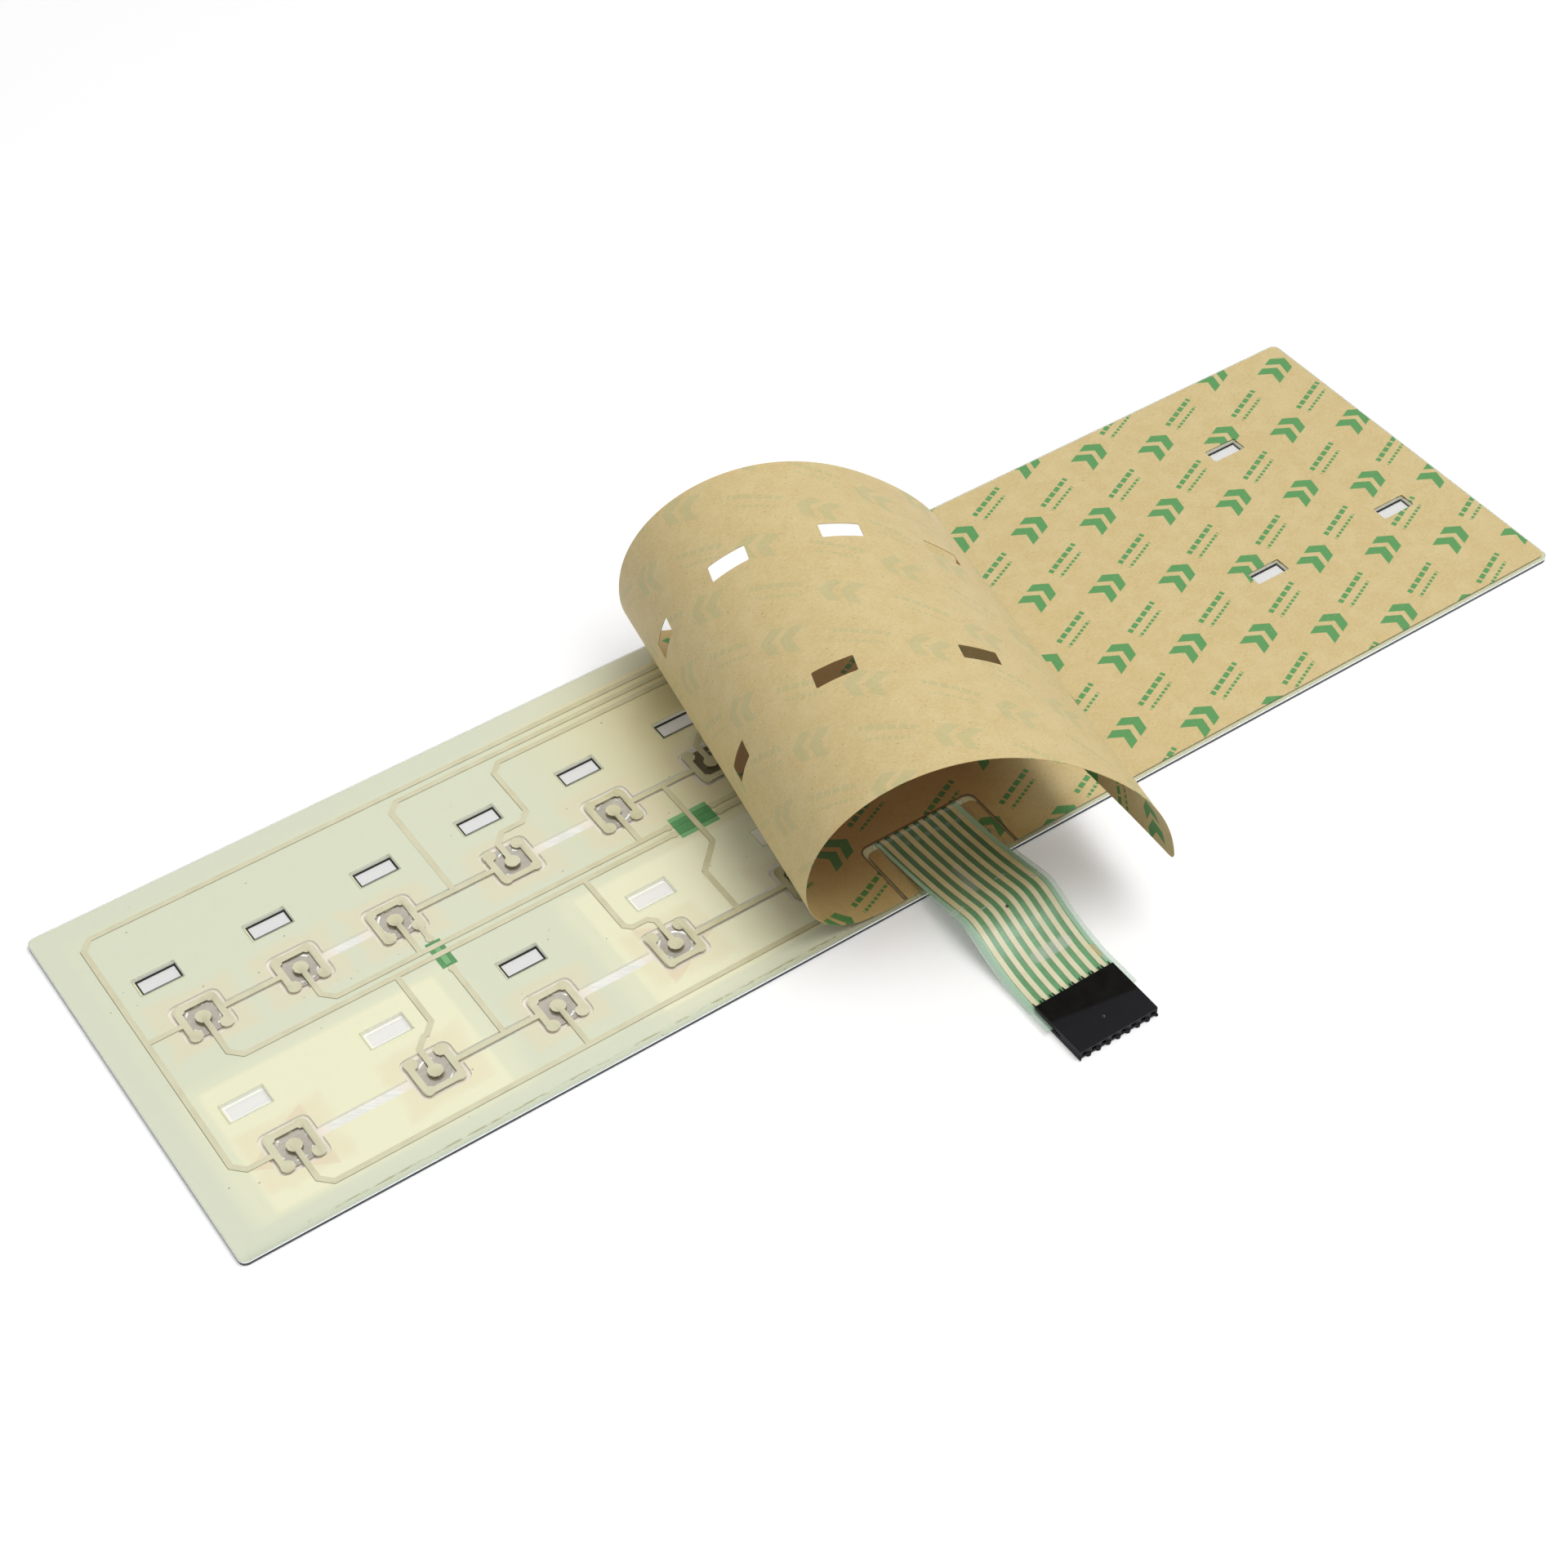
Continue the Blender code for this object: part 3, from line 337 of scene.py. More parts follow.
class Pattern(Nodes):
    """One material's nodes, with the masks and colours that the finishes share."""

    def __init__(self, name: str) -> None:
        """Start a material with its Principled shader."""
        self.material = bpy.data.materials.new(name)
        self.material.use_nodes = True
        super().__init__(self.material.node_tree)
        self.shader = self.tree.nodes["Principled BSDF"]

    def plan(self) -> tuple[Socket, Socket, Socket, Socket]:
        """Place on the panel in millimetres from its front left corner on the table, and its parts."""
        place = self.node("ShaderNodeTexCoord", {}).outputs["Object"]
        place = self.node("ShaderNodeVectorMath", {0: place, 1: (1 / MM,) * 3, 2: (*CENTRE, 0)},
                          operation="MULTIPLY_ADD").outputs[0]
        return place, *self.parts(place)

    def flat(self) -> Socket:
        """Place on the sheet before it was rolled, in plan millimetres."""
        return self.node("ShaderNodeAttribute", {}, attribute_name="flat").outputs["Vector"]

    def normal_up(self) -> Socket:
        """How far the surface faces up, from -1 to 1."""
        return self.parts(self.node("ShaderNodeNewGeometry", {}).outputs["True Normal"])[2]

    def step(self, value: Value, start: float, end: float) -> Socket:
        """Rise smoothly from 0 at start to 1 at end."""
        inputs = {"Value": value, "From Min": start, "From Max": end}
        return self.node("ShaderNodeMapRange", inputs, interpolation_type="SMOOTHSTEP").outputs[0]

    def mix(self, share: Value, under: Value, over: Value, blend: str = "MIX") -> Socket:
        """Lay a share of the upper colour over the lower one."""
        inputs = {0: share, 6: as_linear(under), 7: as_linear(over)}
        return self.node("ShaderNodeMix", inputs, data_type="RGBA", blend_type=blend).outputs[2]

    def tint(self, under: Value, over: Colour, mask: Value, share: float = 1.0) -> Socket:
        """Lay a share of a colour over another one where a mask is."""
        return self.mix(mask if share == 1 else self.times(mask, share), under, over)

    def noise(self, vector: Socket, scale: Value, detail: float = 2.0, rough: float = 0.5) -> Socket:
        """Soft noise.

        Args:
            vector: Where it is read.
            scale: Patches for each millimetre, or three such numbers for stretched noise.
            detail: How many finer layers it has.
            rough: How strong those are.

        Returns:
            A value round 0.5.
        """
        if isinstance(scale, tuple):
            vector = self.node("ShaderNodeVectorMath", {0: vector, 1: scale},
                               operation="MULTIPLY").outputs[0]
            scale = 1.0
        inputs = {"Vector": vector, "Scale": scale, "Detail": detail, "Roughness": rough}
        return self.node("ShaderNodeTexNoise", inputs).outputs[0]

    def turned(self, vector: Socket, degrees: float, centre: tuple = (0, 0, 0)) -> Socket:
        """Turn a plan vector about the upright axis."""
        inputs = {"Vector": vector, "Center": centre, "Angle": math.radians(degrees)}
        return self.node("ShaderNodeVectorRotate", inputs, rotation_type="Z_AXIS").outputs[0]

    def outside_box(self, x: Value, y: Value, centre: Point, half: Point, radius: float = 0.0) -> Socket:
        """Distance outside a rectangle, negative inside.

        Args:
            x: The place's first part.
            y: Its second part.
            centre: The rectangle's centre.
            half: Half its length and width.
            radius: The radius of its corners.

        Returns:
            The distance.
        """
        over = [self.math("SUBTRACT", self.apart(value, middle), reach - radius)
                for value, middle, reach in zip((x, y), centre, half)]
        if not radius:
            return self.most(*over)
        beyond = [self.most(part, 0.0) for part in over]
        length = self.math("SQRT", self.math("ADD", *(self.times(part, part) for part in beyond)))
        inner = self.least(self.most(*over), 0.0)
        return self.math("SUBTRACT", self.math("ADD", length, inner), radius)

    def box(self, x: Value, y: Value, centre: Point, half: Point, soft: float = 0.1,
            radius: float = 0.0) -> Socket:
        """Mask of a rectangle: 1 inside, with an edge that is soft over some millimetres."""
        return self.step(self.outside_box(x, y, centre, half, radius), soft / 2, -soft / 2)

    def past_panel(self, x: Value, y: Value, inset: float, radius: float = 0.0) -> Socket:
        """Distance outside the panel's outline less an inset, negative inside."""
        return self.outside_box(x, y, CENTRE, tuple(part - inset for part in CENTRE), radius)

    def nearest(self, vector: Socket, places: list[Point]) -> Socket:
        """Distance to the nearest of some plan places."""
        x, y, _ = self.parts(vector)
        flat = self.node("ShaderNodeCombineXYZ", {0: x, 1: y}).outputs[0]
        found = [self.node("ShaderNodeVectorMath", {0: flat, 1: (*place, 0)}, operation="DISTANCE")
                 for place in places]
        return self.least(*(node.outputs["Value"] for node in found))

    def around(self, vector: Socket, places: list[Point], half: Point) -> Socket:
        """Distance from the nearest of some plan places, 1 on a rectangle of half sizes round it."""
        x, y, _ = self.parts(vector)
        x, y = self.times(x, 1 / half[0]), self.times(y, 1 / half[1])
        return self.least(*(self.most(self.apart(x, across / half[0]), self.apart(y, up / half[1]))
                            for across, up in places))

    def triangle(self, x: Value, y: Value, tip: Point, length: float, half: float) -> Socket:
        """Mask of a triangle whose tip points left for a positive length, else right."""
        along = self.math("DIVIDE", self.math("SUBTRACT", x, tip[0]), length)
        aside = self.math("DIVIDE", self.apart(y, tip[1]), half)
        return self.times(self.step(self.math("SUBTRACT", along, aside), -0.02, 0.02),
                          self.step(along, 1.01, 0.98))

    def bump(self, height: Value, depth: float, strength: float = 1.0) -> None:
        """Raise the surface by a height of 0 to 1 times a depth in millimetres."""
        made = self.node("ShaderNodeBump", {"Height": height, "Distance": depth * MM,
                                            "Strength": strength})
        self.feed(self.shader.inputs["Normal"], made.outputs[0])

    def finish(self, colour: Value, rough: Value, specular: float = 0.5,
               **sockets: Value) -> Material:
        """Set the shader's sockets.

        Args:
            colour: The base colour.
            rough: The roughness.
            specular: The specular level.
            sockets: Any others, whose names have _ for a space.

        Returns:
            The material.
        """
        sockets |= {"Base_Color": colour, "Roughness": rough, "Specular_IOR_Level": specular}
        for name, value in sockets.items():
            self.feed(self.shader.inputs[name.replace("_", " ")], as_linear(value))
        return self.material


class Side(Enum):
    """The liner's two sides."""

    PRINTED = "printed"
    COATED = "coated"


@dataclass(frozen=True)
class KraftPaper:
    """Kraft paper with fibres, specks, a generic green pattern of arrows and dashes, and painted shade
    in the roll.

    The print's motif lies in cells of the given pitch, and each row is moved on by a step.
    """

    side: Side = Side.PRINTED
    tab: bool = False
    paper: Colour = (214, 194, 141)
    dark_paper: Colour = (202, 179, 126)
    print_ink: Colour = (74, 148, 84)
    ghost_ink: Colour = (176, 178, 132)
    slant: float = 24.0
    pitch: Point = (31.0, 12.4)
    row_step: float = 11.3
    arrows: Point = (-8.2, -3.7)
    notch: tuple[Point, Point] = ((170.95, -1.2), (14.75, 18.8))
    # Colour of the painted shadow in the slit round the tail's notch.
    slit_shade: Colour = (104, 62, 34)
    # Painted shade inside the roll: the factor near its opening and the factor deep inside.
    near_shade: Linear = (0.95, 0.88, 0.76, 1.0)
    deep_shade: Linear = (0.6, 0.44, 0.3, 1.0)

    def motif(self, look: Pattern, place: Socket) -> Socket:
        """Mask of the printed pattern.

        Args:
            look: The material's nodes.
            place: The place on the flat sheet.

        Returns:
            1 where ink is.
        """
        u, v, _ = look.parts(look.turned(place, -self.slant))
        row = look.math("FLOOR", look.math("DIVIDE", v, self.pitch[1]))
        u = look.math("ADD", u, look.times(row, self.row_step))
        a = look.math("SUBTRACT", look.math("FLOORED_MODULO", u, self.pitch[0]), self.pitch[0] / 2)
        b = look.math("SUBTRACT", look.math("FLOORED_MODULO", v, self.pitch[1]), self.pitch[1] / 2)
        lean = look.line(look.math("ABSOLUTE", b), 0.75, a)
        ink = look.most(*(look.box(lean, b, (start, 0.0), (1.45, 3.1), 0.25) for start in self.arrows))
        dash = look.math("FLOORED_MODULO", a, 2.3)
        dashes = look.times(look.box(a, b, (7.0, 1.35), (5.9, 0.62), 0.2), look.step(dash, 0.45, 0.6))
        thin = look.times(look.box(a, b, (6.1, -1.35), (5.0, 0.38), 0.2),
                          look.step(look.math("FLOORED_MODULO", a, 1.3), 0.35, 0.5))
        ink = look.most(ink, dashes, thin)
        worn = look.step(look.noise(place, 2.4, 3, 0.6), 0.28, 0.42)
        return look.times(ink, look.line(worn, 0.25, 0.75))

    def shaded(self, look: Pattern, place: Socket, colour: Socket) -> Socket:
        """Paint a shadow into the slit round the tail's notch, and paint shade on the paper that the
        roll hides from light.

        Args:
            look: The material's nodes.
            place: The place on the flat sheet.
            colour: The colour so far.

        Returns:
            The darkened colour.
        """
        x, y, _ = look.parts(place)
        # Painted shadow: a dark line along the notch's outline stands for the shade in the slit.
        slit_shadow = look.math("ADD", look.outside_box(x, y, *self.notch, 1.9), 0.12)
        slit_shadow = look.step(look.math("ABSOLUTE", slit_shadow), 0.55, 0.4)
        colour = look.tint(colour, self.slit_shade, slit_shadow, 0.75)
        # Painted shade: darken and warm the paper inside and under the roll, most deep inside.
        hidden = look.times(look.step(x, 6, 44), look.step(x, 206, 186))
        depth = look.times(look.step(y, 2, 26), look.step(y, 94, 70))
        shade = look.mix(depth, self.near_shade, self.deep_shade)
        return look.mix(hidden, colour, shade, "MULTIPLY")

    def material(self) -> Material:
        """Make the paper's material."""
        look = Pattern("kraft_tab" if self.tab else f"kraft_{self.side.value}")
        place = look.plan()[0] if self.tab else look.flat()
        fibres = look.noise(look.turned(place, 12), (1.1, 4.0, 1.0), 4, 0.65)
        threads = look.noise(look.turned(place, -37), (1.5, 5.0, 1.0), 3, 0.6)
        clouds = look.noise(place, 0.22, 3, 0.55)
        grain = look.times(look.math("ADD", fibres, threads), 0.5)
        colour = look.mix(look.step(grain, 0.36, 0.64), self.dark_paper, self.paper)
        colour = look.tint(colour, (221, 204, 158), look.step(clouds, 0.35, 0.75), 0.35)
        specks = look.step(look.noise(place, 1.9, 1, 0.3), 0.735, 0.77)
        colour = look.tint(colour, (126, 98, 58), specks, 0.5)
        hairs = look.step(look.noise(look.turned(place, 52), (0.55, 6.0, 1.0), 1, 0.4), 0.76, 0.79)
        colour = look.tint(colour, (150, 120, 76), hairs, 0.35)
        ink = self.motif(look, place)
        if self.side is Side.PRINTED:
            colour = self.shaded(look, place, look.tint(colour, self.print_ink, ink, 0.94))
        else:
            colour = look.tint(colour, self.ghost_ink, ink, 0.4)
        look.bump(grain, 0.03, 0.5)
        rough = look.line(grain, 0.2, 0.42 if self.side is Side.COATED else 0.5)
        return look.finish(colour, rough, 0.35)


@dataclass(frozen=True)
class ClearSheet:
    """Clear sheet: thin-film gloss over what lies behind it, and pale cut edges."""

    name: str
    veil: float
    edge: float
    roughness: float
    tint: Colour

    def marks(self, look: Pattern, place: Socket) -> tuple[Value, Value]:
        """What dulls the sheet: how much of it shows and its colour; nothing on a plain sheet."""
        return 0.0, self.tint

    def material(self) -> Material:
        """Make the sheet's material."""
        look = Pattern(self.name)
        facing = look.node("ShaderNodeLayerWeight", {"Blend": 0.5}).outputs["Facing"]
        gloss = look.line(look.math("POWER", facing, 5.0), 0.3, self.veil)
        flat = look.step(look.math("ABSOLUTE", look.normal_up()), 0.05, 0.4)
        alpha = look.math("ADD", look.times(gloss, flat), look.times(look.rest(flat), self.edge))
        place = look.plan()[0]
        dull = look.line(look.noise(place, 0.35, 3), 0.08, self.roughness)
        look.bump(look.noise(place, 0.12, 2), 0.12, 0.35)
        mark, hue = self.marks(look, place)
        shown = look.math("GREATER_THAN", mark, 0.01)
        colour = look.mix(shown, look.mix(flat, (222, 230, 214), self.tint), hue)
        dulled = look.least(look.times(mark, 8.0), 1.0)
        return look.finish(colour, look.most(dull, look.times(dulled, 0.5)),
                           Metallic=look.rest(dulled), Alpha=look.most(alpha, mark))


@dataclass(frozen=True)
class TailFilm(ClearSheet):
    """The circuit film, whose tail has hazy green margins, creases with painted white highlights, two
    patches of painted sheen and a dark speck.
    """

    reach: float = 9.85
    haze: Colour = (196, 224, 204)
    # Centres of the two patches of painted sheen on the tail.
    painted_sheen: Point = (172.6, -27.4)
    upper_painted_sheen: Point = (168.6, -3.0)
    # The creases' places; the white lines on them are painted highlights.
    creases: tuple[tuple[float, float, float], ...] = (
        (160.6, -10.2, 2.2), (160.4, -11.0, 1.7), (180.2, -11.7, 1.6), (180.5, -12.3, 1.2),
        (174.2, -7.5, 1.3), (165.6, -13.2, 1.0))
    speck: Point = (169.9, -15.6)

    def marks(self, look: Pattern, place: Socket) -> tuple[Value, Value]:
        """The margins beyond the outer conductors, the creases' painted highlights, the painted sheen
        and the speck.

        Args:
            look: The material's nodes.
            place: The plan place.

        Returns:
            How much of the marks shows, and their colour.
        """
        x, y, _ = look.parts(place)
        outside = look.step(y, 3.0, -5.0)
        aside = look.apart(x, TAIL_MIDDLE)
        margin = look.times(look.step(aside, self.reach, self.reach + 0.3), outside)
        # Painted highlights: white lines along the creases in the film.
        white = look.most(*(look.box(x, y, spot, (half, 0.1), 0.12) for *spot, half in self.creases))
        dark = look.step(look.nearest(place, [self.speck]), 0.42, 0.3)
        # Painted reflection: two pale patches of sheen on the tail's film.
        painted_sheen = look.outside_box(x, y, self.painted_sheen, (5.6, 1.9), 1.8)
        painted_sheen = look.times(look.step(painted_sheen, 0.1, -1.2), 0.16)
        u, v, _ = look.parts(look.turned(place, 12, (*self.upper_painted_sheen, 0)))
        upper = look.step(look.outside_box(u, v, self.upper_painted_sheen, (1.7, 5.5), 1.6), 0.1, -1.4)
        painted_sheen = look.most(painted_sheen, look.times(upper, 0.13))
        pale = look.most(white, look.math("GREATER_THAN", painted_sheen, 0.01))
        colour = look.mix(pale, self.haze, (250, 250, 247))
        colour = look.tint(colour, (84, 66, 40), dark)
        amount = look.most(look.times(margin, 0.3), look.times(white, 0.45), painted_sheen,
                           look.times(dark, 0.7))
        return amount, colour


@dataclass(frozen=True)
class SpacerPaint:
    """The spacer's pale paint: green-grey with cream fields, warm halos and faint symbols, painted warm
    bounce light near the roll, a dark base band on the outer wall that is partly painted contact shadow,
    and walls that glow as painted light.
    """

    domes: list[Point]
    ground: Colour = (233, 237, 210)
    cream: Colour = (255, 253, 217)
    # Painted light: the warm tone of light thrown back from the kraft roll.
    warm_bounce_and_halo: Colour = (250, 231, 164)
    border: Colour = (230, 233, 210)
    halo: Colour = (246, 228, 190)
    fields: tuple[tuple[Point, Point], ...] = (((37.9, 23.5), (26.8, 17.0)),
                                               ((150.0, 22.0), (51.0, 19.0)))
    symbols: tuple[tuple[Point, float], ...] = (((11.0, 18.7), 16.0), ((120.6, 18.7), -16.0))

    def material(self) -> Material:
        """Make the paint's material."""
        look = Pattern("spacer_paint")
        place, x, y, z = look.plan()
        drift = look.line(look.noise(place, 0.05, 3, 0.6), 6.0, -3.0)
        loose = look.math("ADD", x, drift)
        # Painted bounce light: the ground turns warm towards and under the roll.
        colour = look.mix(look.step(x, 98, 168), self.ground, self.warm_bounce_and_halo)
        for centre, half in self.fields:
            pale = look.box(loose, y, centre, (half[0] + 4.5, half[1] + 2.2), 5.0, 3.0)
            colour = look.tint(colour, self.cream, pale, 0.4)
            cream = look.box(x, y, centre, half, 1.6, 1.0)
            colour = look.tint(colour, self.cream, cream, 0.9)
        away = look.around(place, self.domes, (9.6, 8.4))
        wobble = look.line(look.noise(place, 0.16, 2), 0.5, -0.25)
        warm_bounce_and_halo = look.step(look.math("ADD", away, wobble), 1.12, 0.82)
        colour = look.tint(colour, self.halo, warm_bounce_and_halo, 0.36)
        for tip, length in self.symbols:
            symbol = look.triangle(x, y, tip, length, 8.8)
            colour = look.tint(colour, (236, 200, 172), symbol, 0.28)
        inside = look.past_panel(x, y, 5.2)
        colour = look.tint(colour, self.border, look.step(inside, -0.6, 0.6), 0.6)
        fine = look.noise(place, 3.0, 2)
        colour = look.tint(colour, (196, 203, 176), look.step(fine, 0.35, 0.75), 0.12)
        specks = look.step(look.noise(place, 0.9, 1, 0.3), 0.79, 0.81)
        colour = look.tint(colour, (120, 116, 82), specks, 0.6)
        glue = look.box(x, y, (95, 1.5), (80, 0.22), 0.3)
        broken = look.step(look.noise(place, (0.25, 1.0, 1.0), 3, 0.7), 0.44, 0.56)
        colour = look.tint(colour, (170, 164, 108), look.times(glue, broken), 0.7)
        flat = look.step(look.math("ABSOLUTE", look.normal_up()), 0.2, 0.6)
        outer = look.step(look.past_panel(x, y, 0.1, 1.5), -0.05, 0.0)
        # Dark lower band on the outer wall: partly the panel's black edge line, partly painted contact
        # shadow.
        edge_ink_and_shadow = look.times(outer, look.step(z, 0.78, 0.72))
        wall = look.mix(outer, (238, 238, 222), (238, 243, 252))
        wall = look.tint(wall, (30, 30, 34), edge_ink_and_shadow)
        clear = look.times(look.rest(flat), look.rest(edge_ink_and_shadow))
        # Painted light: the walls glow, the outer wall most, so that they look lit.
        glow = look.line(outer, 0.3, 0.08)
        return look.finish(look.mix(flat, wall, colour), 0.5, 0.3, Emission_Color=(250, 250, 246),
                           Emission_Strength=look.times(clear, glow))


@dataclass(frozen=True)
class OverlayPrint:
    """The overlay: clear panes with frames on its back, a plain key design on its front."""

    domes: list[Point]
    panes: list[tuple[float, float, bool]]
    shift: float = 0.4
    ink: Colour = (22, 23, 22)

    def material(self) -> Material:
        """Make the overlay's material."""
        look = Pattern("overlay_print")
        _, x, y, z = look.plan()
        up = look.normal_up()
        back = look.step(up, 0.3, 0.6)
        front = look.step(up, -0.3, -0.6)
        pane, dark, pale = 0.0, 0.0, 0.0
        for cx, cy, black in self.panes:
            cx, cy = cx + self.shift, cy + self.shift
            outer = look.box(x, y, (cx, cy), (4.7, 2.22), 0.1, 0.15)
            clear = look.box(x, y, (cx - 0.15, cy - 0.1), (4.18, 1.58), 0.1)
            pane = look.most(pane, clear)
            if black:
                dark = look.most(dark, outer)
            else:
                pale = look.most(pale, outer)
        under = look.mix(pale, (228, 222, 188), (246, 246, 240))
        under = look.tint(under, self.ink, dark)
        face = (206, 212, 202)
        band = look.box(x, y, (CENTRE[0], 88.5), (163.5, 3.2), 0.15, 1.2)
        face = look.tint(face, (54, 104, 112), band)
        for dome in self.domes:
            key = look.outside_box(x, y, dome, (8.6, 7.6), 1.6)
            face = look.tint(face, (58, 66, 72), look.step(key, 0.1, -0.1))
            face = look.tint(face, (236, 236, 228), look.step(key, -0.6, -0.8))
        face = look.tint(face, self.ink, look.most(dark, pale))
        # The overlay's side is dark low down: partly printed edge, partly painted contact shadow.
        side = look.mix(look.step(z, 0.24, 0.2), (226, 231, 240), EDGE_INK_AND_SHADOW)
        colour = look.mix(back, side, under)
        colour = look.mix(front, colour, face)
        colour = look.mix(pane, colour, look.mix(pale, (244, 244, 244), (255, 254, 250)))
        flat = look.most(back, front)
        alpha = look.rest(look.times(pane, flat, 0.3))
        return look.finish(colour, 0.28, 0.45, Alpha=alpha)


@dataclass(frozen=True)
class PrintedInk:
    """A screen-printed ink with fine grain and soft unevenness, with painted warm shade beside and under
    the roll.
    """

    name: str
    colour: Colour
    shade: Colour
    roughness: float
    painted_roll_shade: Linear = (0.95, 0.89, 0.7, 1.0)

    def material(self) -> Material:
        """Make the ink's material."""
        look = Pattern(self.name)
        place, x, y, _ = look.plan()
        grain = look.noise(place, 6.0, 3, 0.6)
        patch = look.noise(place, 0.3, 2)
        amount = look.times(look.math("ADD", grain, patch), 0.5)
        colour = look.mix(look.step(amount, 0.34, 0.62), self.shade, self.colour)
        # Painted shade: darken and warm the ink beside and under the roll.
        under_roll_shade = look.times(look.step(x, 90, 160), look.step(y, -22, -4))
        colour = look.mix(under_roll_shade, colour, self.painted_roll_shade, "MULTIPLY")
        look.bump(grain, 0.01, 0.6)
        return look.finish(colour, look.line(grain, 0.15, self.roughness), 0.4)


@dataclass(frozen=True)
class PatchInk(PrintedInk):
    """The insulating patches' green ink, paler along the conductor that runs under it."""

    patches: tuple[str, ...] = ()
    pale: Colour = (126, 190, 126)
    seam: Colour = (50, 106, 62)
    half: float = 0.68
    bus: float = 1.2

    def material(self) -> Material:
        """Make the ink's material."""
        look = Pattern(self.name)
        place, x, y, _ = look.plan()
        grain = look.noise(place, 2.4, 3, 0.6)
        colour = look.mix(look.step(grain, 0.34, 0.62), self.shade, self.colour)
        for name in self.patches:
            low, high = (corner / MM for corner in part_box(name))
            middle = tuple((low.xy + high.xy) / 2 + Vector(CENTRE))
            length, width = (high.xy - low.xy) / 2
            along = length > width
            run = (length, self.half + self.bus) if along else (self.half, width - 0.6)
            inner = look.box(x, y, middle, run, 0.08)
            seams = look.math("SUBTRACT", look.box(x, y, middle, (run[0] + 0.1, run[1] + 0.1), 0.08),
                              inner)
            if along:
                for side in (0.4, -self.bus - self.half):
                    line = look.box(x, y, (middle[0], middle[1] + side), (length, 0.07), 0.08)
                    seams = look.most(seams, line)
            here = look.step(look.outside_box(x, y, middle, (length, width)), 0.3, 0.2)
            beside = look.rest(inner) if along else inner
            colour = look.tint(colour, self.pale, look.times(beside, here))
            colour = look.tint(colour, self.seam, look.times(seams, here), 0.8)
        look.bump(grain, 0.01, 0.6)
        return look.finish(colour, self.roughness, 0.4)


@dataclass(frozen=True)
class TailCoat:
    """The tail's green cover coat, paler beyond the outer conductors where light comes through."""

    reach: float = 9.7
    shaded: Colour = (80, 122, 78)
    lit: Colour = (110, 170, 122)
    pale: Colour = (176, 214, 184)

    def material(self) -> Material:
        """Make the coat's material."""
        look = Pattern("tail_coat")
        place, x, y, _ = look.plan()
        aside = look.apart(x, TAIL_MIDDLE)
        cloud = look.noise(place, 0.25, 3, 0.6)
        colour = look.mix(look.step(y, 2, -22), self.shaded, self.lit)
        colour = look.tint(colour, self.shaded, look.step(cloud, 0.65, 0.35), 0.4)
        colour = look.tint(colour, self.pale, look.step(aside, self.reach - 0.25, self.reach + 0.35))
        dash = look.outside_box(x, y, (180.45, -32.4), (0.3, 1.75))
        colour = look.tint(colour, (206, 178, 126), look.step(dash, 0.06, -0.02))
        return look.finish(colour, 0.4, 0.4)


@dataclass(frozen=True)
class Metal:
    """Thin sheet metal with rolling streaks."""

    name: str
    colour: Colour
    roughness: float
    dull: float = 0.88

    def streaked(self, look: Pattern, place: Socket) -> tuple[Socket, Socket]:
        """The colour with rolling streaks at a plan place, and the streaks themselves."""
        streaks = look.noise(place, (0.6, 9.0, 1.0), 3, 0.6)
        dulled = tuple(part * self.dull for part in self.colour)
        return look.mix(look.step(streaks, 0.35, 0.65), dulled, self.colour), streaks

    def material(self) -> Material:
        """Make the metal's material."""
        look = Pattern(self.name)
        colour, streaks = self.streaked(look, look.plan()[0])
        return look.finish(colour, look.line(streaks, 0.14, self.roughness), Metallic=1.0)


@dataclass(frozen=True)
class DomeSteel(Metal):
    """The domes' steel, with painted highlights in broken arcs round each dome's rim."""

    dull: float = 0.9
    domes: tuple[Point, ...] = ()
    ring: float = 3.5

    def material(self) -> Material:
        """Make the steel's material."""
        look = Pattern(self.name)
        place = look.plan()[0]
        colour, _ = self.streaked(look, place)
        # Painted highlight: white broken arcs on a band round each dome's centre.
        highlight_arcs = look.step(look.noise(place, 0.45, 2, 0.6), 0.5, 0.58)
        band = look.step(look.apart(look.nearest(place, self.domes), self.ring), 0.26, 0.14)
        colour = look.tint(colour, (255, 255, 252), look.times(band, highlight_arcs))
        return look.finish(colour, self.roughness, Metallic=1.0)


@dataclass(frozen=True)
class MouldedPlastic:
    """Near-black moulded plastic, satin, with a fine texture and a paler front part, which is a painted
    reflection.
    """

    colour: Colour = (15, 15, 14)
    # Paler colour past a slanted line: a painted reflection on the front part.
    front: Colour = (27, 27, 31)
    line: Point = (170.0, -44.2)
    lean: float = 0.16
    fleck: Point = (170.0, -47.5)

    def material(self) -> Material:
        """Make the plastic's material."""
        look = Pattern("moulded_black")
        place, x, y, _ = look.plan()
        grain = look.noise(place, 5.0, 3, 0.6)
        cloud = look.noise(place, 0.35, 2)
        colour = look.mix(look.step(cloud, 0.35, 0.7), (10, 10, 10), self.colour)
        # Painted reflection: the part in front of a slanted line is paler.
        past_reflection_edge = look.line(look.math("SUBTRACT", x, self.line[0]), self.lean, y)
        colour = look.tint(colour, self.front, look.step(past_reflection_edge, self.line[1] + 0.5, self.line[1] - 0.5))
        fleck = look.step(look.nearest(place, [self.fleck]), 0.4, 0.25)
        colour = look.tint(colour, (110, 110, 112), look.times(fleck, look.step(grain, 0.4, 0.55)))
        look.bump(grain, 0.02, 0.3)
        return look.finish(colour, look.line(cloud, 0.2, 0.3), 0.1)


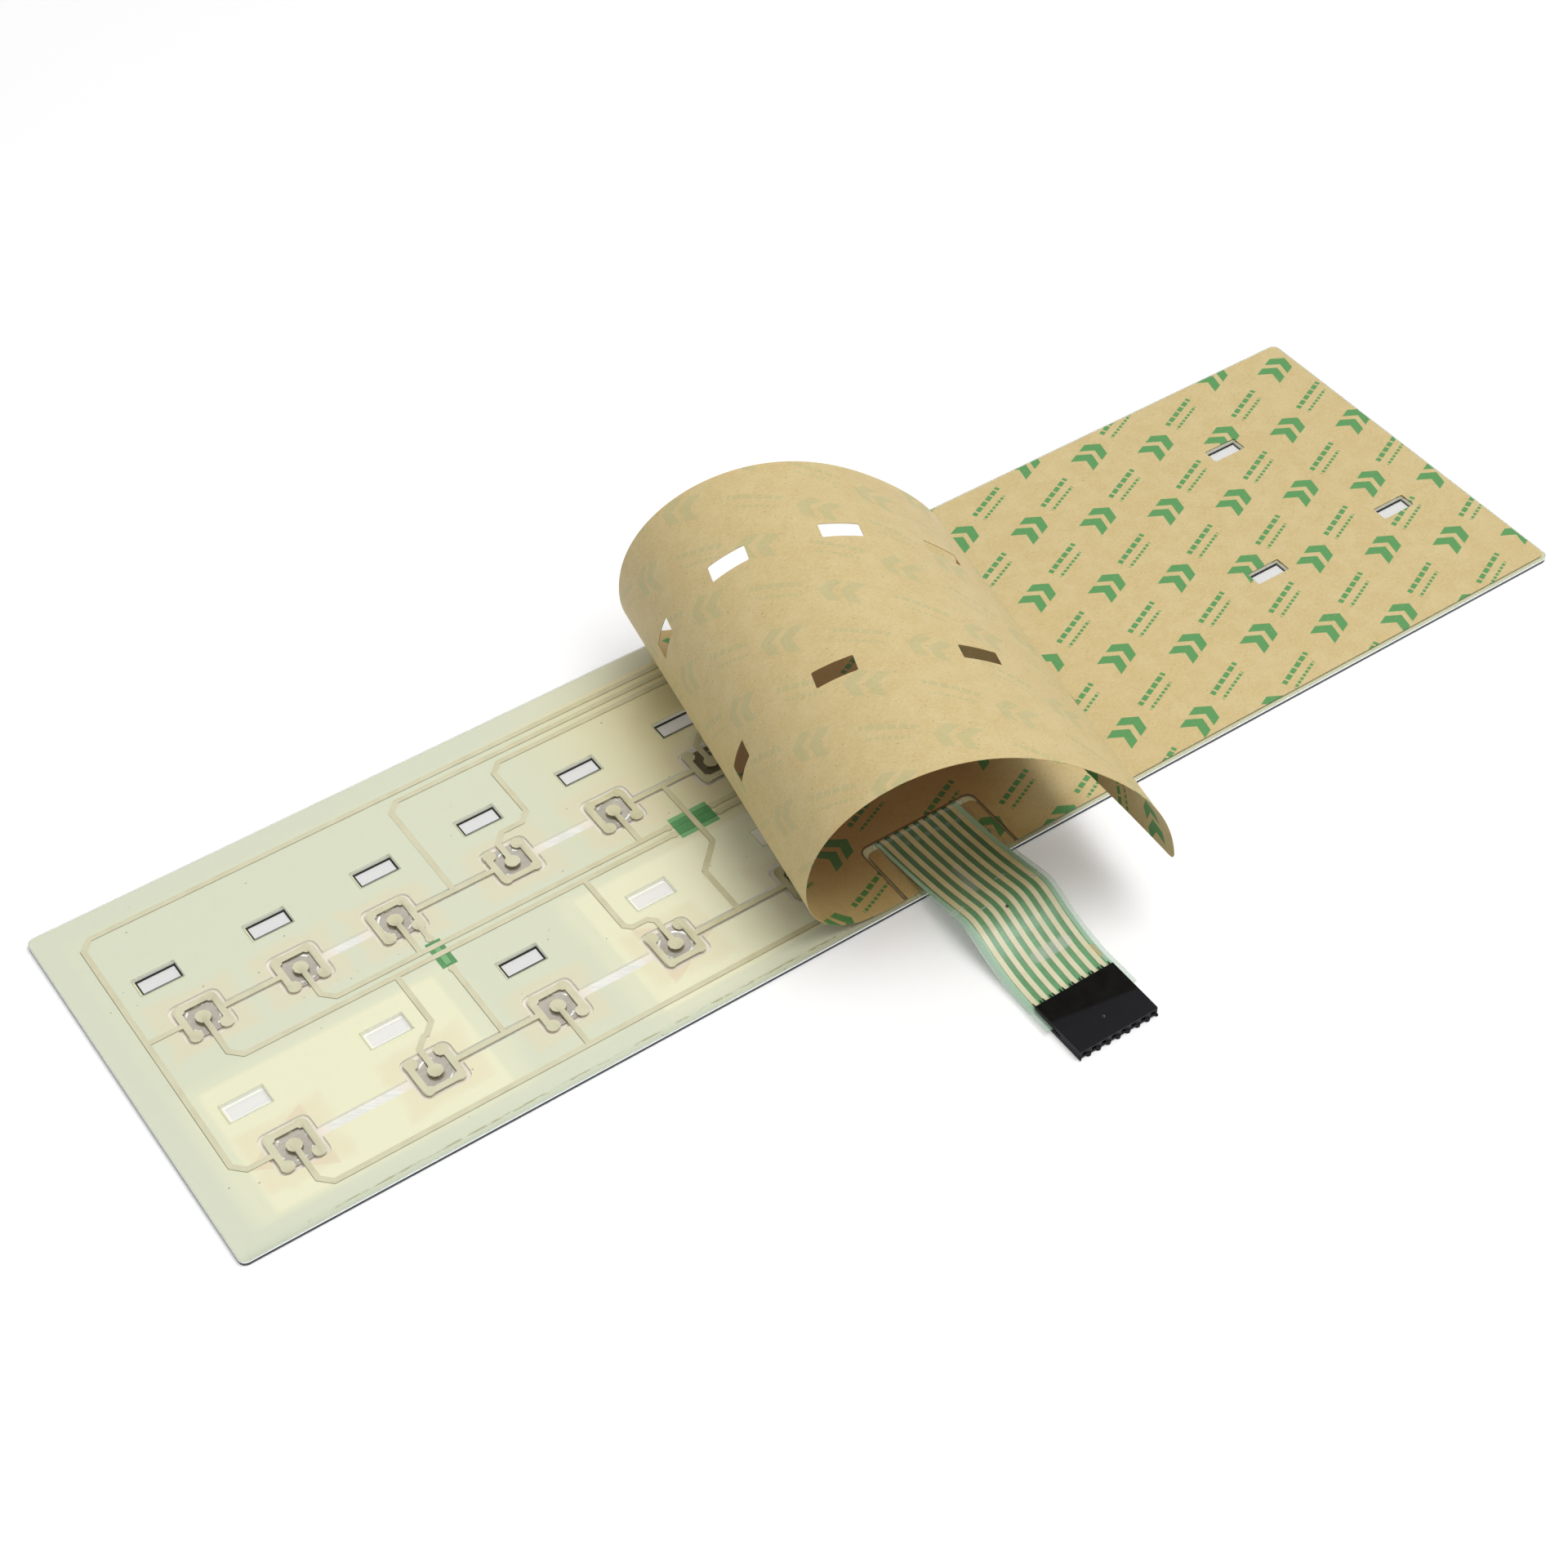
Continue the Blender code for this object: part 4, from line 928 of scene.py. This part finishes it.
@dataclass(frozen=True)
class PaleAdhesive:
    """The adhesive behind the overlay, pinkish in the domes' pockets and pale in the vents, with a dark
    outer edge that continues the black edge line and is partly painted contact shadow.
    """

    domes: list[Point]
    pocket: Colour = (250, 241, 226)
    vent: Colour = (252, 251, 245)

    def material(self) -> Material:
        """Make the adhesive's material."""
        look = Pattern("pale_adhesive")
        place, x, y, _ = look.plan()
        away = look.nearest(place, self.domes)
        streaks = look.noise(look.turned(place, 35), (0.25, 3.0, 1.0), 2)
        vent = look.mix(look.step(streaks, 0.4, 0.62), (240, 240, 234), self.vent)
        colour = look.tint(vent, self.pocket, look.step(away, 9.0, 6.5))
        # Dark outer edge: the black edge line and painted contact shadow.
        colour = look.tint(colour, EDGE_INK_AND_SHADOW, look.step(look.past_panel(x, y, 0.1, 1.5), -0.05, 0.0))
        return look.finish(colour, 0.3)


# Shapes

@dataclass
class ReleaseLiner:
    """The kraft liner: one flat sheet with holes, rolled over about slanted straight lines."""

    edge: float = 0.4
    front_edge: float = 0.9
    thickness: float = 0.12
    corner: float = 1.6
    window: Point = (9.2, 4.2)
    window_corner: float = 0.3
    window_shift: float = 0.4
    windows: list[Point] = field(default_factory=list)
    notch: tuple[float, float, float] = (156.2, 185.7, 17.6)
    notch_corner: float = 1.9
    fold: Point = (154.85, 0.9)
    turn: float = 9.86
    bend: tuple[Point, ...] = ((0, 0), (10, 0.055), (25, 0.045), (40, 0.024), (55, 0.037), (75, 0.034),
                               (95, 0.027), (120, 0.012), (155, 0.05))
    line_pitch: float = 1.0
    fine: float = 0.1

    def across(self) -> Vector:
        """The plan direction square to the lines that the paper bends about, away from the roll."""
        angle = math.radians(self.turn)
        return Vector((math.cos(angle), -math.sin(angle)))

    def reach(self, sheet: Piece) -> float:
        """How far the flat sheet goes to the left of the fold line, in millimetres."""
        fold = Vector(self.fold)
        return max((fold - vertex.co.xy).dot(self.across()) for vertex in sheet.data.vertices)

    def flat_sheet(self) -> Piece:
        """Model the flat sheet with its window holes and the tail's notch, in plan millimetres."""
        low = (self.edge, self.front_edge, LINER_LEVEL)
        high = (PANEL_LENGTH - self.edge, PANEL_WIDTH - self.edge, LINER_LEVEL + self.thickness)
        sheet = block("kraft_liner", low, high, self.corner)
        half, tall = self.window[0] / 2, self.window[1] / 2
        pattern = block("window_cut", (-half, -tall, 0), (half, tall, 3), self.window_corner, 3)
        cutters = []
        for x, y in self.windows:
            cutters.append(added("window_cut", pattern.data.copy()))
            shift = Matrix.Translation((x + self.window_shift, y + self.window_shift, 0))
            cutters[-1].data.transform(shift)
        bpy.data.objects.remove(pattern)
        left, right, back = self.notch
        cutters.append(block("notch_cut", (left, -20, 0), (right, back, 3), self.notch_corner, 5,
                             lambda place: place.y > 0))
        cut_out(sheet, joined(cutters))
        return sheet

    def score(self, sheet: Piece) -> None:
        """Divide the sheet's rolled part along the straight lines that it bends about."""
        across = self.across().to_3d()
        start = Vector((*self.fold, 0))
        reach = self.reach(sheet)
        edit_all(sheet)
        distance = 0.0
        while distance < reach:
            bpy.ops.mesh.select_all(action="SELECT")
            bpy.ops.mesh.bisect(plane_co=start - across * distance, plane_no=across, threshold=1e-4)
            distance += self.line_pitch
        mode("OBJECT")

    def bend_at(self, distance: float) -> float:
        """How sharply the paper bends at a distance from the fold, in radians a millimetre."""
        for (start, low), (end, high) in zip(self.bend, self.bend[1:]):
            if distance < end:
                return low + (high - low) * (distance - start) / (end - start)
        return self.bend[-1][1]

    def profile(self, reach: float) -> list[tuple[Vector, Vector]]:
        """The roll's profile across its axis.

        Args:
            reach: How far from the fold it goes.

        Returns:
            The place and the inward normal at the end of each fine step.
        """
        place, heading = Vector((0, LINER_LEVEL)), 0.0
        stations = [(place.copy(), Vector((0, 1)))]
        for index in range(int(reach / self.fine) + 2):
            heading += self.bend_at((index + 0.5) * self.fine) * self.fine
            place += Vector((-math.cos(heading), math.sin(heading))) * self.fine
            stations.append((place.copy(), Vector((math.sin(heading), math.cos(heading)))))
        return stations

    def roll(self, sheet: Piece) -> None:
        """Keep each point's flat place, roll the sheet up and bring it into the part's frame."""
        flat = sheet.data.attributes.new("flat", "FLOAT_VECTOR", "POINT")
        across = self.across()
        along = Vector((-across.y, across.x))
        fold = Vector(self.fold)
        stations = self.profile(self.reach(sheet))
        for vertex in sheet.data.vertices:
            flat.data[vertex.index].vector = vertex.co
            offset = vertex.co.xy - fold
            distance = -offset.dot(across)
            if distance > 1e-6:
                index, share = int(distance / self.fine), distance / self.fine % 1
                place = stations[index][0].lerp(stations[index + 1][0], share)
                normal = stations[index][1].lerp(stations[index + 1][1], share)
                lift = vertex.co.z - LINER_LEVEL
                plan = fold + along * offset.dot(along) + across * (place.x + normal.x * lift)
                vertex.co = (*plan, place.y + normal.y * lift)
        sheet.data.transform(Matrix.Scale(MM, 4) @ Matrix.Translation((-CENTRE[0], -CENTRE[1], 0)))

    def build(self) -> None:
        """Model, roll and dress the liner."""
        sheet = self.flat_sheet()
        self.score(sheet)
        only(sheet)
        sides = [polygon.normal.z for polygon in sheet.data.polygons]
        self.roll(sheet)
        dress(sheet, *(KraftPaper(side).material() for side in Side))
        for polygon, up in zip(sheet.data.polygons, sides):
            polygon.material_index = 1 if up < -0.5 else 0
        bpy.ops.object.shade_smooth_by_angle(angle=SMOOTH_ANGLE)
        stand_in(sheet, "release_liner")


@dataclass
class Laminate:
    """The flat sheets, the printed circuit and the domes, in the places that the CAD gives them."""

    far_upper: tuple[float, ...] = (37.7,)
    far_lower: tuple[float, ...] = (126.8, 57.9, 18.4)
    upper_windows: float = 72.05
    lower_windows: float = 33.15
    upper_pitch: float = 25.4
    lower_pitch: float = 31.75
    first: float = 18.2
    # Width and side of the painted shadow line along the conductors' lower left edges.
    ink_shadow_rim: float = 0.12
    shadow_rim_side: Point = (-0.6, -0.8)
    film_rim: float = 0.16

    def domes(self) -> list[Point]:
        """Plan places of the domes, as the CAD has them."""
        boxes = (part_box(name) for name in frame["nodes"] if name.startswith("snap_dome"))
        return sorted(tuple((low + high).xy / 2 / MM + Vector(CENTRE)) for low, high in boxes)

    def panes(self) -> list[tuple[float, float, bool]]:
        """Every window's plan place, and whether its pane has a dark frame."""
        found = [(self.first + self.upper_pitch * i, self.upper_windows, True) for i in range(6)]
        found += [(self.first + self.lower_pitch * i, self.lower_windows, i == 2) for i in range(5)]
        found += [(PANEL_LENGTH - away, self.upper_windows, True) for away in self.far_upper]
        return found + [(PANEL_LENGTH - away, self.lower_windows, True) for away in self.far_lower]

    def finishes(self) -> dict[str, Material]:
        """One material for each of the record's slots, and for the nodes that look different."""
        domes = self.domes()
        patches = tuple(name for name in frame["nodes"] if name.startswith("insulating_patch"))
        finishes = {
            "overlay_ink": OverlayPrint(domes, self.panes()),
            "clear_adhesive": ClearSheet("clear_adhesive", 0.012, 0.7, 0.3, (236, 236, 216)),
            "overlay_adhesive": PaleAdhesive(domes),
            "spacer_film": SpacerPaint(domes),
            "clear_film": TailFilm("clear_film", 0.012, 0.5, 0.16, (250, 252, 250)),
            "film_edge": ClearSheet("film_edge", 0.3, 0.8, 0.4, (176, 190, 178)),
            "silver_ink": PrintedInk("silver_ink", (230, 226, 194), (220, 215, 180), 0.5),
            # The dark rim ink is a painted shadow line under the conductors' edges.
            "ink_shadow_line": PrintedInk("ink_shadow_line", (146, 137, 106), (124, 116, 88), 0.55),
            "green_coat": PatchInk("green_patch", (92, 162, 98), (82, 150, 88), 0.35, patches=patches),
            "tail_cover_coat": TailCoat(),
            "kraft_paper": KraftPaper(tab=True),
            "dome_steel": DomeSteel("dome_steel", (196, 190, 176), 0.32, domes=tuple(domes)),
            "black_plastic": MouldedPlastic(),
            "contact_tin": Metal("contact_tin", (214, 212, 205), 0.3),
        }
        return {name: finish.material() for name, finish in finishes.items()}

    def build(self) -> None:
        """Dress every carried-over node, and smooth those that are bent or domed."""
        finishes = self.finishes()
        slots = {entry["node"]: entry["material_slot"] for entry in frame["record"]["subparts"]}
        del slots["release_liner"]
        for name, slot in slots.items():
            finish = finishes.get(name) or finishes[slot]
            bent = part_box(name)[0].y < -PANEL_WIDTH / 2 * MM - MM and not name.startswith("contact")
            if name == "connector_housing":
                self.housing(finish)
            elif slot == "silver_ink" or bent or name.startswith("snap_dome"):
                piece = merged_copy(name, f"smooth_{name}")
                dress(piece, finish)
                if slot == "silver_ink":
                    # Painted shadow: a dark rim along the conductors' lower left edges.
                    dress(piece, finish, finishes["ink_shadow_line"])
                    rim(piece, self.ink_shadow_rim, self.shadow_rim_side)
                elif slot == "clear_film":
                    dress(piece, finish, finishes["film_edge"])
                    rim(piece, self.film_rim)
                stand_in(piece, name)
            else:
                for holder in frame["nodes"][name].material_slots:
                    holder.material = finish
                LOG.info("%s dressed with %s", name, finish.name)

    def housing(self, finish: Material) -> None:
        """Ease the edges of the connector's housing and give it its finish."""
        piece = merged_copy("connector_housing", "eased_housing")
        edit_all(piece)
        bpy.ops.mesh.dissolve_limited(angle_limit=math.radians(0.5))
        mode("OBJECT")
        ease = piece.modifiers.new("ease", "BEVEL")
        ease.width = 0.05 * MM
        ease.segments = 2
        ease.limit_method = "ANGLE"
        ease.angle_limit = math.radians(35)
        apply_all(piece)
        bpy.ops.object.shade_smooth_by_angle(angle=SMOOTH_ANGLE)
        dress(piece, finish)
        stand_in(piece, "connector_housing")


@dataclass
class Studio:
    """Plain white floor and surroundings, one large soft lamp, and the photograph's camera."""

    sky: float = 0.08
    zenith: float = 0.62
    lamp: float = 11.5
    lamp_place: Place = (0.22, -0.34, 1.35)
    lamp_size: float = 0.8
    floor_tone: Linear = (0.93, 0.93, 0.93, 1.0)
    floor_glow: float = 0.16
    lens: float = 65.78
    camera_place: Place = (-0.25775, -0.35545, 0.457745)
    right: Place = (0.82132, -0.57045, -0.00467)
    up: Place = (0.42017, 0.59938, 0.68133)
    back: Place = (-0.38586, -0.56155, 0.73196)

    def floor(self) -> None:
        """Lay the floor, just under the panel."""
        bpy.ops.mesh.primitive_plane_add(size=8, location=(0, 0, -0.1 * MM))
        floor = bpy.context.object
        floor.name = "studio_floor"
        only(floor)
        bpy.ops.object.transform_apply()
        look = Pattern("studio_floor")
        glow = look.times(look.seen(), self.floor_glow)
        dress(floor, look.finish(self.floor_tone, 1.0, 0.0, Emission_Color=WHITE,
                                 Emission_Strength=glow))

    def surroundings(self) -> None:
        """White light from all round, stronger from above, which the camera sees as plain white."""
        world = bpy.data.worlds.new("studio")
        bpy.context.scene.world = world
        world.use_nodes = True
        look = Nodes(world.node_tree)
        height = look.most(look.parts(look.node("ShaderNodeTexCoord", {}).outputs["Generated"])[2], 0.0)
        ground = look.tree.nodes["Background"]
        look.feed(ground.inputs["Color"], WHITE)
        look.feed(ground.inputs["Strength"], look.line(height, self.zenith, self.sky))
        white = look.node("ShaderNodeBackground", {"Color": WHITE})
        choice = look.node("ShaderNodeMixShader", {0: look.seen(), 1: ground.outputs[0],
                                                   2: white.outputs[0]})
        look.feed(look.tree.nodes["World Output"].inputs["Surface"], choice.outputs[0])

    def lamps(self) -> None:
        """Hang the soft lamp and aim it at the panel."""
        data = bpy.data.lights.new("soft_lamp", "AREA")
        data.energy = self.lamp
        data.size = self.lamp_size
        lamp = added("soft_lamp", data)
        lamp.location = self.lamp_place
        lamp.rotation_euler = Vector(self.lamp_place).to_track_quat("Z", "Y").to_euler()

    def camera(self) -> None:
        """Set up the camera where the photograph was taken from."""
        data = bpy.data.cameras.new("camera")
        data.lens = self.lens
        data.sensor_width = 36
        data.clip_start = 0.01
        camera = added("camera", data)
        turn = Matrix((self.right, self.up, self.back)).transposed().to_4x4()
        camera.matrix_world = Matrix.Translation(self.camera_place) @ turn
        bpy.context.scene.camera = camera

    def build(self) -> None:
        """Set the whole studio up."""
        bpy.context.scene.view_settings.view_transform = "Standard"
        self.floor()
        self.surroundings()
        self.lamps()
        self.camera()
        LOG.info("studio ready")


def main() -> None:
    """Build the looks in order."""
    logging.basicConfig(level=logging.INFO, format="%(name)s: %(message)s")
    laminate = Laminate()
    Studio().build()
    laminate.build()
    ReleaseLiner(windows=[pane[:2] for pane in laminate.panes()]).build()


if __name__ == "__main__":
    main()
